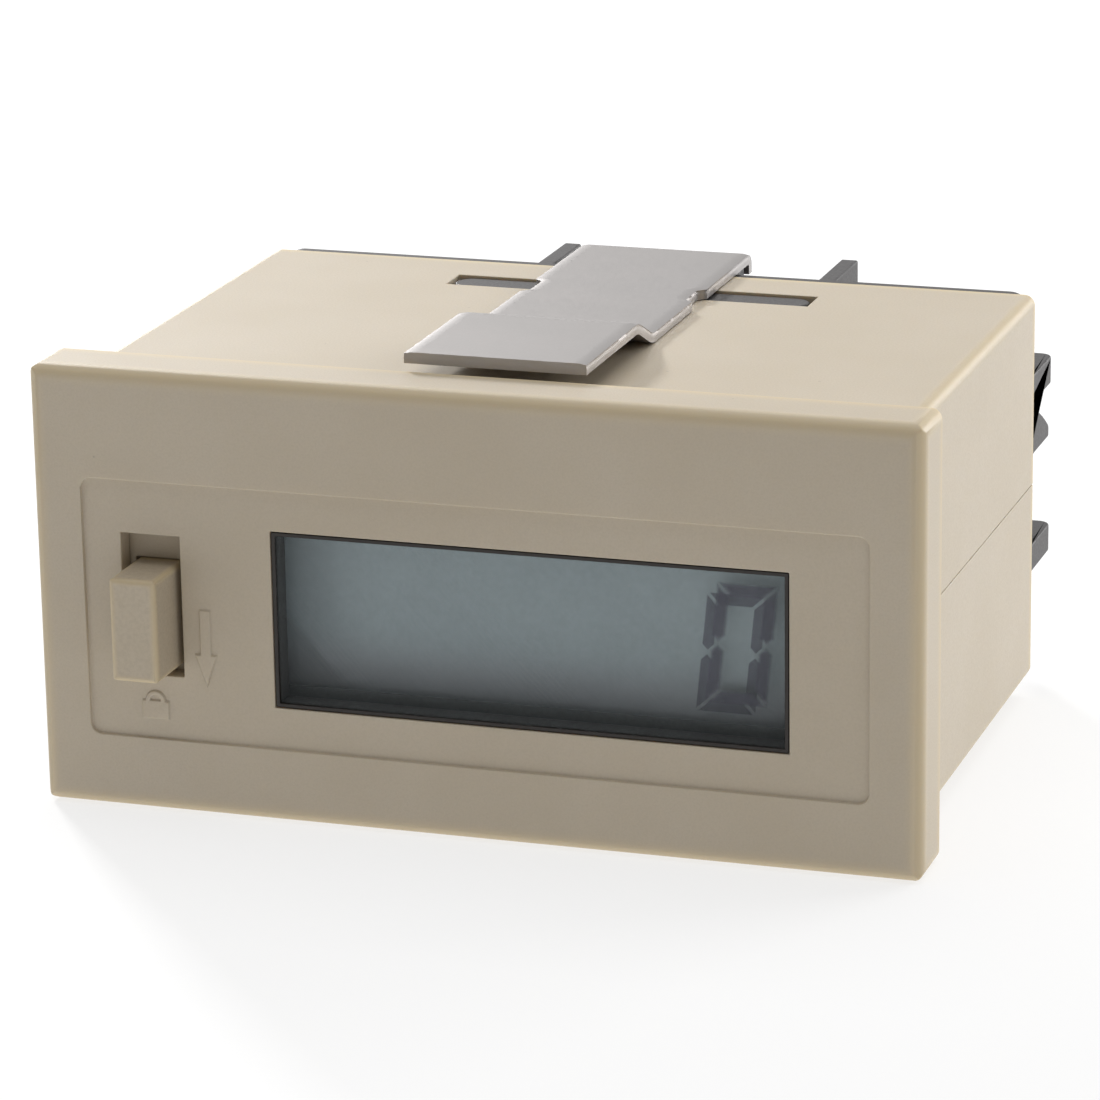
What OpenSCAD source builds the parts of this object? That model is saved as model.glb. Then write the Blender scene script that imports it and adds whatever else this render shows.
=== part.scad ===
// Panel-mounted pulse counter: six-digit display, sliding reset key, spring clip, four screw terminals.
// +X is to the right, +Y runs from the front through the panel, +Z is up.
// The origin is the centre of the front frame's rear face, which seats on the panel.

/* [Front frame] */
// How far the frame stands out past each side of the case
lip_side = 1.6; // [1:0.1:6]
// How far the frame stands out above and below the case
lip_top = 1; // [0.8:0.1:6]
// Thickness of the frame in front of the panel
front_t = 3.8; // [3.6:0.1:5]
// Radius of the frame's front edges
front_r = 0.75; // [0.3:0.05:1]
// Thickness of the frame's front wall
front_wall = 1.4; // [1:0.1:1.6]
// Margin from the frame's side to the sunk label field
label_side = 2.8; // [2:0.1:4]
// Margin from the frame's top to the sunk label field
label_top = 5.92; // [3:0.01:7]
// Margin from the frame's bottom to the sunk label field
label_bottom = 4.03; // [2:0.01:5]
// Depth of the sunk label field
label_depth = 0.2; // [0.1:0.05:0.3]

/* [Case] */
// Width of the case, which passes through the panel
case_w = 44.8; // [44:0.1:60]
// Height of the case
case_h = 22; // [21.6:0.1:30]
// Length of the case behind the panel seat
case_l = 27.7; // [27.5:0.1:60]
// Thickness of the case walls
wall = 1.5; // [1:0.1:1.8]
// Radius of the case's long edges
case_r = 0.6; // [0.5:0.1:1.4]
// Height of the split between the case halves, above the middle
split_z = 0.2; // [-1:0.1:1]
// Gap between fixed moulded pieces that slide together
fit_gap = 0.1; // [0.05:0.01:0.15]

/* [Display] */
// Number of digits
digits = 6; // [4:1:6]
// Distance between digits
digit_pitch = 4.3; // [3.6:0.1:4.5]
// Width of a digit
digit_w = 3.2; // [2.6:0.1:3.3]
// Height of a digit
digit_h = 6.4; // [5:0.1:7]
// Lean of a digit
digit_lean = 6; // [0:1:10]
// Width of a digit's segments
segment_w = 0.62; // [0.4:0.01:0.8]
// Clear space beside the first and last digit
window_margin = 1; // [0.5:0.1:1.6]
// Height of the window
window_h = 9.6; // [8:0.1:10]
// Distance from the case's right side to the window
window_inset = 5.4; // [4.8:0.1:8]
// Height of the window's middle, below the case's middle
window_drop = 0.93; // [0.3:0.01:1.2]
// Thickness of each display glass
glass_t = 0.7; // [0.5:0.05:0.8]

/* [Reset key] */
// Width of the key
key_w = 2.6; // [2:0.1:3]
// Height of the key
key_h = 5.6; // [4:0.1:6]
// How far the key stands out of the frame
key_out = 2.5; // [1.5:0.1:4]
// Distance from the case's left side to the key's middle
key_inset = 4.9; // [4.6:0.1:5]
// How far the key presses in
key_press = 1; // [0.6:0.1:1]
// How far the key slides up from its locked place
key_slide = 1.4; // [1:0.1:1.5]
// Gap beside the key in its slot
key_side_gap = 0.35; // [0.2:0.05:0.5]
// Gap below the locked key in its slot
key_end_gap = 0.4; // [0.2:0.05:0.5]
// Height of the locked key's middle, below the case's middle
key_drop = 1.3; // [1:0.1:1.5]

/* [Mounting clip] */
// Width of the clip
clip_w = 9.9; // [6:0.1:10]
// Thickness of the clip's steel
clip_t = 0.6; // [0.4:0.05:0.8]
// Clip's middle, to the right of the case's middle
clip_x = 0.3; // [0:0.1:0.5]
// Height of the raised end above the flat
clip_rise = 1.2; // [1.1:0.1:2]
// Length of the raised end
clip_front_l = 9; // [5:0.1:12]
// Length of the step down to the flat
clip_step_l = 2.6; // [1.5:0.1:4]
// Gap between the panel seat and the clip
clip_front_gap = 0.4; // [0.3:0.1:2]
// Length of the lip that turns down behind the case
clip_hook = 0.65; // [0.5:0.05:1.2]

/* [Terminals] */
// Distance between terminals
terminal_pitch = 8.25; // [7.8:0.05:9]
// Middle of the terminal row, to the right of the case's middle
terminal_x = 2.05; // [0:0.05:2.1]
// Thickness of the barrier ribs
rib_t = 1; // [0.8:0.1:1.2]
// How far the ribs stand out behind the case
rib_out = 6; // [5.8:0.1:8]
// Diameter of a terminal screw's shank
screw_d = 2.5; // [2:0.1:2.8]
// Diameter of a terminal screw's head
head_d = 5.2; // [4.5:0.1:5.6]
// Thickness of a terminal screw's head
head_t = 2; // [1.5:0.1:2.2]
// How far a terminal screw backs out
screw_travel = 1.5; // [1:0.1:1.6]

/* [Battery] */
// Diameter of the lithium cell
cell_d = 14.5; // [12:0.1:14.5]
// Length of the lithium cell
cell_l = 25; // [20:0.1:25]

/* [Hidden] */
$fn = 48;
eps = 0.01;

// Colours
beige = [0.78, 0.74, 0.65];
black = [0.07, 0.07, 0.07];
dark_grey = [0.26, 0.25, 0.25];
steel = [0.77, 0.76, 0.74];
brass = [0.72, 0.6, 0.33];

// Front frame
front_w = case_w + 2 * lip_side;
front_h = case_h + 2 * lip_top;
rear_r = 0.3;
face_y = -front_t;
floor_y = face_y + label_depth;
wall_y = face_y + front_wall;
label_w = front_w - 2 * label_side;
label_h = front_h - label_top - label_bottom;
label_z = (label_bottom - label_top) / 2;
label_r = 0.6;
mark_up = 0.12;
rebate = 0.3;
seat_gap = 0.05;

// The collar behind the frame, which the case halves close round
room_w = case_w - 2 * wall;
room_h = case_h - 2 * wall;
room_r = 0.5;
collar_w = room_w - 2 * fit_gap;
collar_h = room_h - 2 * fit_gap;
collar_t = 1;
collar_l = 2.4;
pocket_w = collar_w - 2 * collar_t;
pocket_h = collar_h - 2 * collar_t;
snap_w = 10;
snap_y = 1.2;
snap_l = 0.6;
snap_up = 0.25;

// Window and display, stacked from the front wall backwards
window_w = digits * digit_pitch + 2 * window_margin;
window_x = case_w / 2 - window_inset - window_w / 2;
window_z = -window_drop;
window_gap = 0.05;
mask_wall = 0.2;
mask_t = 0.3;
mask_lap = 1.6;
lens_sink = 0.15;
film_t = 0.2;
seal_t = 0.1;
rest_gap = 0.02;
mask_y = wall_y + mask_t;
polariser_y = mask_y;
glass_y = polariser_y + film_t;
seal_y = glass_y + glass_t;
rear_glass_y = seal_y + seal_t;
rear_film_y = rear_glass_y + glass_t;
display_back = rear_film_y + film_t;
view_w = window_w - 2 * window_gap - 2 * mask_wall;
view_h = window_h - 2 * window_gap - 2 * mask_wall;
glass_w = window_w + 2.7;
rear_glass_h = window_h + 0.6;
front_glass_h = rear_glass_h + 3.2;
strip_h = 1.2;
strip_w = window_w;
strip_z = (rear_glass_h + front_glass_h) / 4;
holder_wall = 1;
holder_w = glass_w + 2 * holder_wall + 2 * seat_gap;
holder_h = front_glass_h + 2 * holder_wall * 0.6 + 2 * seat_gap;
holder_l = 3.7;
board_y = mask_y + holder_l;

// Circuit board
board_t = 1.2;
board_w = pocket_w - 0.4;
board_h = pocket_h - 0.4;
board_back = board_y + board_t;
peg_d = 1.4;
peg_head_d = 2.2;
peg_head_t = 0.5;
peg_in = 1.25;
peg_up = 3.2;
pegs = [for (side = [-1, 1]) [window_x + side * (glass_w / 2 - peg_in), window_z + side * peg_up]];
pad_t = 0.035;
pad_gap = 0.3;

// Reset key and the carrier that it slides on
key_x = -case_w / 2 + key_inset;
key_z = -key_drop;
slot_w = key_w + 2 * key_side_gap;
slot_low = key_z - key_h / 2 - key_end_gap;
slot_high = key_z + key_h / 2 + key_slide + 0.3;
run_gap = 0.05;
key_r = 0.3;
carrier_t = 0.8;
carrier_w = slot_w + 1.1;
carrier_half = key_h / 2 + key_slide + 0.9;
carrier_y = wall_y + run_gap;
carrier_back = board_y - 0.1;
key_hole_gap = 0.05;
flange_y = carrier_y + carrier_t + run_gap;
flange_t = 0.6;
flange_side = 0.4;
flange_end = 0.5;
pad_base_t = 0.6;
dome_top_t = 0.45;
dome_wall = 0.35;
pill_d = 1.5;
pill_y = flange_y + flange_t + rest_gap + dome_top_t + rest_gap;
pill_l = board_y - pad_t - rest_gap - key_press - pill_y;
rail_t = 0.7;
slide_gap = 0.1;

// Latch slots in the case, and the terminal block's tongues in them
latch_w = 20.9;
latch_l = 2.3;
latch_x = 0.5;
latch_back = 3.3;
latch_gap = 0.2;
tongue_sink = 0.12;

// Terminal block
rim_t = 1;
rim_in = 0.1;
rim_side = 0.4;
rim_r = 1.2;
block_front = case_l - 6.5;
block_wall = 1.5;
block_web = 2;
block_y = case_l + rim_t;
rib_y = case_l + rib_out;
rib_edge = 2;
rib_low_top = 8.5;
shelf_t = 1.6;
shelf_zs = [-5.27, 4.57];
shelf_in = 0.25;
shelf_r = 0.7;
lug_h = 3;
lug_drop = 2.7;
lug_out = 5.6;
lug_arc_r = 16;
lug_chord = norm([lug_out, lug_drop]);
rest_w = 9.5;
rest_t = 1.4;
rest_l = 2.6;

// Terminals, counted from the left
plate_w = terminal_pitch - rib_t - 0.85;
plate_h = 8;
plate_t = 0.8;
blade_w = 2;
blade_t = 0.6;
blade_l = 5.8;
thread_gap = 0.05;
washer_w = plate_w - 0.4;
washer_t = 0.8;
shank_l = 3.6;
washer_y = block_y + plate_t + run_gap;
head_y = washer_y + washer_t + run_gap;
cross_w = 0.7;
cross_l = 3;
cross_d = 1.1;

// Lithium cell and what holds it
cell_x = 5.5;
cell_y = board_back + 2.15 + cell_d / 2;
cell_gap = 0.1;
nub_d = 4;
nub_l = 0.8;
tab_strip_t = 0.2;
tab_strip_w = 3;
saddle_xs = [cell_x - 10, cell_x + 5];
saddle_t = 1.2;
saddle_low = 5;

// Leads from the terminals over the cell to the board
lead_d = 0.9;
lead_bend = 1.2;
lead_low = plate_h / 2 + lead_d / 2;
lead_high = cell_d / 2 + 0.15 + lead_d / 2;
lead_start = block_front + 2.6;

function terminal_at(i) = terminal_x + (i - 2.5) * terminal_pitch;

// A flat outline of a rectangle with round corners
module rounded(w, h, r) {
    square([w - 2 * r, h], center = true);
    square([w, h - 2 * r], center = true);
    for (x = [-1, 1], y = [-1, 1]) translate([x * (w / 2 - r), y * (h / 2 - r)]) circle(r);
}

// Extrudes an outline drawn in X and Z along +Y
module along_y(y, l) translate([0, y + l, 0]) rotate([90, 0, 0]) linear_extrude(l) children();

// Extrudes an outline drawn in Y and Z along +X
module along_x(x, l) translate([x, 0, 0]) rotate([90, 0, 90]) linear_extrude(l) children();

// A box centred on x and z that starts at y
module bar(w, l, h, x = 0, y = 0, z = 0) translate([x - w / 2, y, z - h / 2]) cube([w, l, h]);

// The side outline of a block: depth along X, round at the front by rf and at the back by rb
module edge_outline(h, l, rf, rb) {
    translate([rf, -h / 2]) square([l - rf - rb, h]);
    translate([0, rf - h / 2]) square([l / 2, h - 2 * rf]);
    translate([l / 2, rb - h / 2]) square([l / 2, h - 2 * rb]);
    for (z = [-1, 1]) {
        translate([rf, z * (h / 2 - rf)]) circle(rf);
        translate([l - rb, z * (h / 2 - rb)]) circle(rb);
    }
}

// A block with round front edges that starts at y
module round_block(w, h, l, rf, rb, y) intersection() {
    along_y(y, l) rounded(w, h, rf);
    along_x(-w / 2, w) translate([y, 0]) edge_outline(h, l, rf, rb);
    translate([0, y, -h / 2]) rotate([0, 0, 90]) linear_extrude(h) edge_outline(w, l, rf, rb);
}

// Where the window and the key are
module at_window() translate([window_x, 0, window_z]) children();
module at_key(z = key_z) translate([key_x, 0, z]) children();

// Front frame, open behind, with the collar that goes into the case
module front_bezel() color(beige) {
    difference() {
        union() {
            round_block(front_w, front_h, front_t, front_r, rear_r, face_y);
            along_y(-rebate - eps, collar_l + rebate + eps) rounded(collar_w, collar_h, room_r);
            for (z = [-1, 1]) bar(snap_w, snap_l, 2 * snap_up, 0, snap_y, z * collar_h / 2);
        }
        along_y(face_y - 1, 1 + label_depth) translate([0, label_z]) rounded(label_w, label_h, label_r);
        at_window() bar(window_w, front_t, window_h, 0, face_y, 0);
        bar(slot_w, front_t, slot_high - slot_low, key_x, face_y, (slot_high + slot_low) / 2);
        along_y(wall_y, front_t + collar_l) rounded(pocket_w, pocket_h, room_r);
        difference() {
            along_y(-rebate, 1 + rebate) rounded(case_w + 2 * seat_gap, case_h + 2 * seat_gap, case_r);
            along_y(-rebate - 1, 3) rounded(collar_w, collar_h, room_r);
            bar(snap_w, 3, collar_h + 2 * snap_up, 0, snap_y, 0);
        }
    }
    bar(rail_t, board_y - wall_y - 0.1, 2 * carrier_half + key_slide,
        key_x + carrier_w / 2 + slide_gap + rail_t / 2, wall_y - eps, key_z + key_slide / 2);
    down_arrow();
    padlock_mark();
}

// Raised arrow beside the slot, pointing to the locked end
arrow_x = 1.3;
arrow_l = 4.1;
arrow_w = 0.6;
arrow_head = 1.2;
arrow_head_l = 1.65;
module down_arrow() along_y(floor_y - mark_up, mark_up + eps)
    translate([key_x + slot_w / 2 + arrow_x, slot_low - 0.3]) {
        translate([-arrow_w / 2, arrow_head_l - 0.4]) square([arrow_w, arrow_l - arrow_head_l + 0.4]);
        polygon([[0, 0], [arrow_head / 2, arrow_head_l], [-arrow_head / 2, arrow_head_l]]);
    }

// Raised padlock below the slot
lock_w = 1.5;
lock_h = 1;
lock_bar = 0.25;
module padlock_mark() along_y(floor_y - mark_up, mark_up + eps)
    translate([key_x, slot_low - 1.9]) {
        square([lock_w, lock_h], center = true);
        translate([0, lock_h / 2]) difference() {
            circle(lock_w / 2 - 0.2);
            circle(lock_w / 2 - 0.2 - lock_bar);
        }
    }

// The case's full tube, with what is inside it, before it is split
module case_tube() {
    difference() {
        along_y(-rebate, case_l + rebate) rounded(case_w, case_h, case_r);
        along_y(-rebate - 1, case_l + rebate + 2) rounded(room_w, room_h, room_r);
        bar(latch_w, latch_l, case_h + 2, latch_x, case_l - latch_back - latch_l, 0);
        bar(snap_w + 0.4, snap_l + 0.2, room_h + 2 * snap_up + 0.2, 0, snap_y - 0.1, 0);
    }
    difference() {
        for (x = saddle_xs, z = [-1, 1])
            bar(saddle_t, block_front - board_back - 1, room_h / 2 - saddle_low + eps,
                x, board_back + seat_gap, z * (room_h / 2 + saddle_low) / 2);
        cell_shape(cell_gap);
    }
}

module upper_case() color(beige) intersection() {
    case_tube();
    bar(2 * case_w, 2 * case_l, case_h, 0, -case_l / 2, split_z + seat_gap / 2 + case_h / 2);
}

module lower_case() color(beige) intersection() {
    case_tube();
    bar(2 * case_w, 2 * case_l, case_h, 0, -case_l / 2, split_z - seat_gap / 2 - case_h / 2);
}

// Rear plug with barrier ribs, closed by tongues in the case's latch slots
module terminal_block() color(dark_grey) difference() {
    union() {
        along_y(block_front, case_l - block_front + eps)
            rounded(collar_w, collar_h, room_r);
        along_y(case_l, rim_t) rounded(case_w - 2 * rim_side, case_h - 2 * rim_in, rim_r);
        for (z = [-1, 1]) latch_tongue(z);
        for (i = [0 : 4]) {
            rib_x = terminal_x + (i - 2) * terminal_pitch;
            under_clip = abs(rib_x - clip_x) < (clip_w + rib_t) / 2 + lip_gap;
            top = (i == 1 || i == 3) && !under_clip ? case_h / 2 - rim_in : rib_low_top;
            bar(rib_t, rib_y - case_l, top + case_h / 2 - rib_edge,
                rib_x, case_l, (top - case_h / 2 + rib_edge) / 2);
        }
        bar(rest_w, rest_l, rest_t, clip_x, case_l, case_h / 2 - rim_in - rest_t / 2);
        for (side = [-1, 1], z = shelf_zs) end_shelf(side, z);
        for (side = [-1, 1]) end_lug(side);
    }
    along_y(block_front - 1, case_l - block_front - block_web + 1)
        rounded(collar_w - 2 * block_wall, collar_h - 2 * block_wall, room_r);
    for (i = [1 : 4]) {
        translate([terminal_at(i), block_y + 1, 0]) rotate([90, 0, 0])
            cylinder(h = block_web + rim_t + 2, d = screw_d + 0.6);
        bar(blade_w + 0.2, block_web + rim_t + 2, blade_t + 0.2,
            terminal_at(i), case_l - block_web - 1, plate_h / 2 - blade_t / 2);
    }
}

// A tongue with round ends that fills a latch slot, just below the case's surface
module latch_tongue(side) {
    l = latch_l - 2 * latch_gap;
    w = latch_w - 2 * latch_gap;
    high = case_h / 2 - tongue_sink;
    y = case_l - latch_back - latch_l / 2;
    translate([latch_x, y, side > 0 ? collar_h / 2 - eps : -high]) linear_extrude(high - collar_h / 2 + eps) {
        square([w - l, l], center = true);
        for (x = [-1, 1]) translate([x * (w - l) / 2, 0]) circle(l / 2);
    }
}

// Outline in X and Y from an end rib to the block's end, with its outer rear corner round
module end_outline(side, l, r) {
    inner = terminal_x + side * 2 * terminal_pitch;
    outer = side * (case_w / 2 - shelf_in);
    intersection() {
        translate([min(inner, outer), case_l]) square([abs(outer - inner), l]);
        union() {
            translate([outer - side * r, case_l + l - r]) circle(r);
            translate([outer, case_l]) square([2 * abs(outer - inner), 2 * (l - r)], center = true);
            translate([inner, case_l]) square([2 * (abs(outer - inner) - r), 2 * l], center = true);
        }
    }
}

// Flat shelf from the last rib to the block's end
module end_shelf(side, z) translate([0, 0, z]) linear_extrude(shelf_t) end_outline(side, rib_out, shelf_r);

// Lug under the upper shelf. Its top falls away from the shelf along an arc, by lug_drop at its end
module end_lug(side) intersection() {
    translate([0, 0, shelf_zs[1] - lug_h]) linear_extrude(lug_h + eps) end_outline(side, lug_out, shelf_r);
    along_x(-case_w / 2, case_w) translate([case_l, shelf_zs[1]])
        rotate(-atan(lug_drop / lug_out)) translate([lug_chord / 2, -sqrt(lug_arc_r ^ 2 - lug_chord ^ 2 / 4)])
            circle(lug_arc_r, $fn = 120);
}
// Clear block that fills the window inside the black mask
module window_lens() color([0.85, 0.88, 0.9, 0.3]) at_window()
    bar(view_w - 2 * rest_gap, mask_y - rest_gap - floor_y - lens_sink,
        view_h - 2 * rest_gap, 0, floor_y + lens_sink, 0);

// Black frame that lines the window and laps the front wall from behind
module display_mask() color(black) at_window() difference() {
    union() {
        bar(window_w - 2 * window_gap, mask_y - floor_y - lens_sink / 2, window_h - 2 * window_gap,
            0, floor_y + lens_sink / 2, 0);
        bar(window_w + 2 * mask_lap, mask_t, window_h + 2 * mask_lap, 0, wall_y, 0);
    }
    bar(view_w, 2 * front_t, view_h, 0, face_y - 1, 0);
}

module front_polariser() color([0.55, 0.6, 0.6, 0.5]) at_window()
    bar(window_w + 0.8, film_t, rear_glass_h - 0.2, 0, polariser_y, 0);

module front_glass() color([0.7, 0.78, 0.78, 0.4]) at_window()
    bar(glass_w, glass_t, front_glass_h, 0, glass_y, 0);

// Ring of sealant between the two glasses
module glass_seal() color([0.4, 0.42, 0.42]) at_window() difference() {
    bar(glass_w, seal_t, rear_glass_h, 0, seal_y, 0);
    bar(glass_w - 1.6, 3 * seal_t, rear_glass_h - 1.6, 0, seal_y - seal_t, 0);
}

module rear_glass() color([0.7, 0.78, 0.78, 0.4]) at_window()
    bar(glass_w, glass_t, rear_glass_h, 0, rear_glass_y, 0);

// Rear polariser with its silvered back
module rear_polariser() color([0.62, 0.67, 0.66]) at_window()
    bar(glass_w - 0.4, film_t, rear_glass_h - 0.4, 0, rear_film_y, 0);

// The last digit shows a nought: six segments round an open figure
module digit_segments() color([0.25, 0.24, 0.3])
    translate([window_x + (digits - 1) / 2 * digit_pitch, 0, window_z])
        multmatrix([[1, 0, tan(digit_lean), 0], [0, 1, 0, 0], [0, 0, 1, 0]])
            along_y(seal_y + rest_gap, seal_t - 2 * rest_gap) nought();

module nought() {
    half_w = digit_w / 2;
    half_h = digit_h / 2;
    s = segment_w;
    gap = 0.12;
    for (z = [-1, 1]) {
        polygon([[-half_w + gap, z * half_h], [half_w - gap, z * half_h],
            [half_w - gap - s, z * (half_h - s)], [-half_w + gap + s, z * (half_h - s)]]);
        for (x = [-1, 1])
            polygon([[x * half_w, z * (half_h - gap)], [x * (half_w - s), z * (half_h - gap - s)],
                [x * (half_w - s), z * (gap + s / 2)], [x * (half_w - s / 2), z * gap],
                [x * half_w, z * (gap + s / 2)]]);
    }
}

// Elastomer strips between the front glass's ledges and the board
module contact_strip(side) color([0.3, 0.3, 0.33]) at_window()
    bar(strip_w, board_y - rear_glass_y, strip_h, 0, rear_glass_y, side * strip_z);
module upper_contact_strip() contact_strip(1);
module lower_contact_strip() contact_strip(-1);

// White frame round the glass, pegged to the board
module display_holder() color([0.9, 0.9, 0.88]) {
    difference() {
        at_window() bar(holder_w, holder_l, holder_h, 0, mask_y, 0);
        at_window() bar(glass_w + 2 * seat_gap, rear_glass_y - face_y, front_glass_h + 2 * seat_gap,
            0, face_y, 0);
        at_window() bar(glass_w + 2 * seat_gap, display_back - face_y, rear_glass_h + 2 * seat_gap,
            0, face_y, 0);
        for (side = [-1, 1]) at_window()
            bar(strip_w + 2 * seat_gap, 2 * holder_l, strip_h + 2 * seat_gap, 0, mask_y, side * strip_z);
    }
    for (p = pegs) translate([p[0], board_y - eps, p[1]]) rotate([-90, 0, 0]) {
        cylinder(h = board_t + 2 * eps, d = peg_d);
        translate([0, 0, board_t + eps]) cylinder(h = peg_head_t, d = peg_head_d);
    }
}

module circuit_board() color([0.1, 0.35, 0.2]) difference() {
    along_y(board_y, board_t) rounded(board_w, board_h, room_r);
    for (p = pegs) translate([p[0], board_y - 1, p[1]]) rotate([-90, 0, 0])
        cylinder(h = board_t + 2, d = peg_d + 0.1);
    for (i = [1 : 4]) translate([terminal_at(i), board_y - 1, lead_low]) rotate([-90, 0, 0])
        cylinder(h = board_t + 2, d = lead_d + 0.1);
    for (x = cell_tab_xs) bar(tab_strip_t + 0.2, board_t + 2, tab_strip_w + 0.2, x, board_y - 1, 0);
}

// Two gold pads behind the key's unlocked place only
pad_w_each = 0.9;
pad_h = 1;
module reset_pads() color([0.85, 0.7, 0.35]) for (side = [-1, 1])
    at_key(key_z + key_slide)
        bar(pad_w_each, pad_t, pad_h, side * (pad_w_each + pad_gap) / 2, board_y - pad_t, 0);

// Domed black blob over the counter's bare chip
chip_x = -13.5;
chip_z = 0.5;
chip_d = 6;
chip_t = 1;
module counter_chip() color(black) translate([chip_x, board_back, chip_z]) rotate([-90, 0, 0])
    intersection() {
        cylinder(h = chip_t, d = chip_d);
        translate([0, 0, chip_t - dome_r(chip_d, chip_t)]) sphere(dome_r(chip_d, chip_t));
    }
function dome_r(d, t) = (d * d / 4 + t * t) / (2 * t);

// Optical input isolator with four legs a side
isolator_l = 4.9;
isolator_w = 2.8;
isolator_t = 1.4;
isolator_x = -15.5;
isolator_z = 5.7;
module input_isolator() color([0.12, 0.12, 0.12]) translate([isolator_x, board_back, isolator_z]) {
    bar(isolator_l, isolator_t, isolator_w, 0, 0.1, 0);
    for (i = [-1.5 : 1.5], z = [-1, 1]) {
        bar(0.4, 0.7, 0.3, i * 1.2, 0.1, z * (isolator_w / 2 + 0.1));
        bar(0.4, 0.15, 0.8, i * 1.2, 0, z * (isolator_w / 2 + 0.3));
    }
}

// Tuning-fork crystal in its can, lying on the board
can_d = 2;
can_l = 6;
can_x = -17.3;
can_z = -6.2;
module crystal() color(steel) translate([can_x, board_back + can_d / 2, can_z]) rotate([0, 90, 0]) {
    cylinder(h = can_l, d = can_d);
    for (z = [-0.35, 0.35]) translate([z, 0, can_l - 0.1]) cylinder(h = 1.6, d = 0.3);
}

// Chip parts in one row: a ceramic body between two tinned ends
chip_row_z = -6.3;
capacitor_xs = [-1, 2, 13.5];
resistor_xs = [5, 8, 16.5];
module chip_part(x, t) translate([x, board_back, chip_row_z]) bar(2, t, 1.2);
module chip_capacitors() color([0.62, 0.5, 0.36]) for (x = capacitor_xs) chip_part(x, 0.8);
module chip_resistors() color([0.15, 0.15, 0.17]) for (x = resistor_xs) chip_part(x, 0.5);

// The cell's outline, grown by a gap
cell_tab_xs = [cell_x - cell_l / 2 - tab_strip_t / 2, cell_x + cell_l / 2 + tab_strip_t / 2];
module cell_shape(gap) translate([cell_x - cell_l / 2 - gap, cell_y, 0]) rotate([0, 90, 0]) {
    cylinder(h = cell_l - nub_l + 2 * gap, d = cell_d + 2 * gap);
    translate([0, 0, 1]) cylinder(h = cell_l - 1 + gap, d = nub_d + 2 * gap);
}
module lithium_cell() color([0.2, 0.3, 0.5]) cell_shape(0);

// Nickel strips from the cell's ends to the board
module cell_tab(x) color(steel)
    bar(tab_strip_t, cell_y + 1 - board_y, tab_strip_w, x, board_y + seat_gap, 0);
module minus_tab() cell_tab(cell_tab_xs[0]);
module plus_tab() cell_tab(cell_tab_xs[1]);

// One lead: up from the terminal's blade, over the cell, and down to the board
module lead(x) {
    step_back = lead_start - 2;
    step_front = board_back + 1 + 2 * lead_bend;
    mid = (lead_low + lead_high) / 2;
    r = (lead_high - lead_low) / 2;
    translate([x, 0, 0]) {
        lead_run(step_back, lead_start + 1.2, lead_low);
        lead_run(step_front, step_back - 2 * r, lead_high);
        lead_run(board_y + seat_gap, step_front - 2 * r, lead_low);
        lead_arc(step_back, lead_low + r, 180, r);
        lead_arc(step_back - 2 * r, lead_high - r, 0, r);
        lead_arc(step_front, lead_high - r, 90, r);
        lead_arc(step_front - 2 * r, lead_low + r, 270, r);
    }
}
module lead_run(y1, y2, z) translate([0, y1, z]) rotate([-90, 0, 0]) cylinder(h = y2 - y1, d = lead_d);
module lead_arc(y, z, turn, r) translate([0, y, z]) rotate([90, 0, 90]) rotate([0, 0, turn])
    rotate_extrude(angle = 90) translate([r, 0]) circle(d = lead_d);
module input_leads() color([0.75, 0.2, 0.15]) for (i = [1 : 4]) lead(terminal_at(i));

// Brass plate with its threaded hole, and the blade that goes forward through the block
module contact_plate(i) color(brass) translate([terminal_at(i), 0, 0]) {
    difference() {
        bar(plate_w, plate_t, plate_h, 0, block_y, 0);
        translate([0, block_y - 1, 0]) rotate([-90, 0, 0])
            cylinder(h = plate_t + 2, d = screw_d + 2 * thread_gap);
    }
    bar(blade_w, blade_l + eps, blade_t, 0, block_y - blade_l, plate_h / 2 - blade_t / 2);
}

// Square washer that stays on the screw
module clamp_washer(i) color(steel) translate([terminal_at(i), washer_y, 0]) difference() {
    bar(washer_w, washer_t, washer_w);
    translate([0, -1, 0]) rotate([-90, 0, 0]) cylinder(h = washer_t + 2, d = screw_d + 2 * thread_gap);
}

// Pan-head screw with a cross slot
module terminal_screw(i) color(steel) translate([terminal_at(i), head_y, 0]) difference() {
    rotate([-90, 0, 0]) {
        translate([0, 0, -shank_l]) cylinder(h = shank_l + eps, d = screw_d);
        cylinder(h = head_t * 0.6, d = head_d);
        translate([0, 0, head_t * 0.6]) intersection() {
            cylinder(h = head_t * 0.4, d = head_d);
            translate([0, 0, head_t * 0.4 - dome_r(head_d, head_t * 0.4)])
                sphere(dome_r(head_d, head_t * 0.4));
        }
    }
    bar(cross_l, cross_d + eps, cross_w, 0, head_t - cross_d, 0);
    bar(cross_w, cross_d + eps, cross_l, 0, head_t - cross_d, 0);
}

// Slides up and down behind the slot and carries the key
module key_carrier() color(beige) at_key() {
    difference() {
        bar(carrier_w, carrier_back - carrier_y, 2 * carrier_half, 0, carrier_y, 0);
        bar(key_w + 2 * key_hole_gap, carrier_t + 1, key_h + 2 * key_hole_gap, 0, carrier_y - 0.5, 0);
        bar(2 * carrier_w, carrier_back - carrier_y, key_h + 2 * flange_end + 0.6,
            0, carrier_y + carrier_t, 0);
    }
}

// Key with its stop flange
module reset_key() color(beige) at_key() {
    round_block(key_w, key_h, flange_y + flange_t - face_y + key_out, key_r, 0.02, face_y - key_out);
    bar(key_w + 2 * flange_side, flange_t, key_h + 2 * flange_end, 0, flange_y, 0);
}

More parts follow.
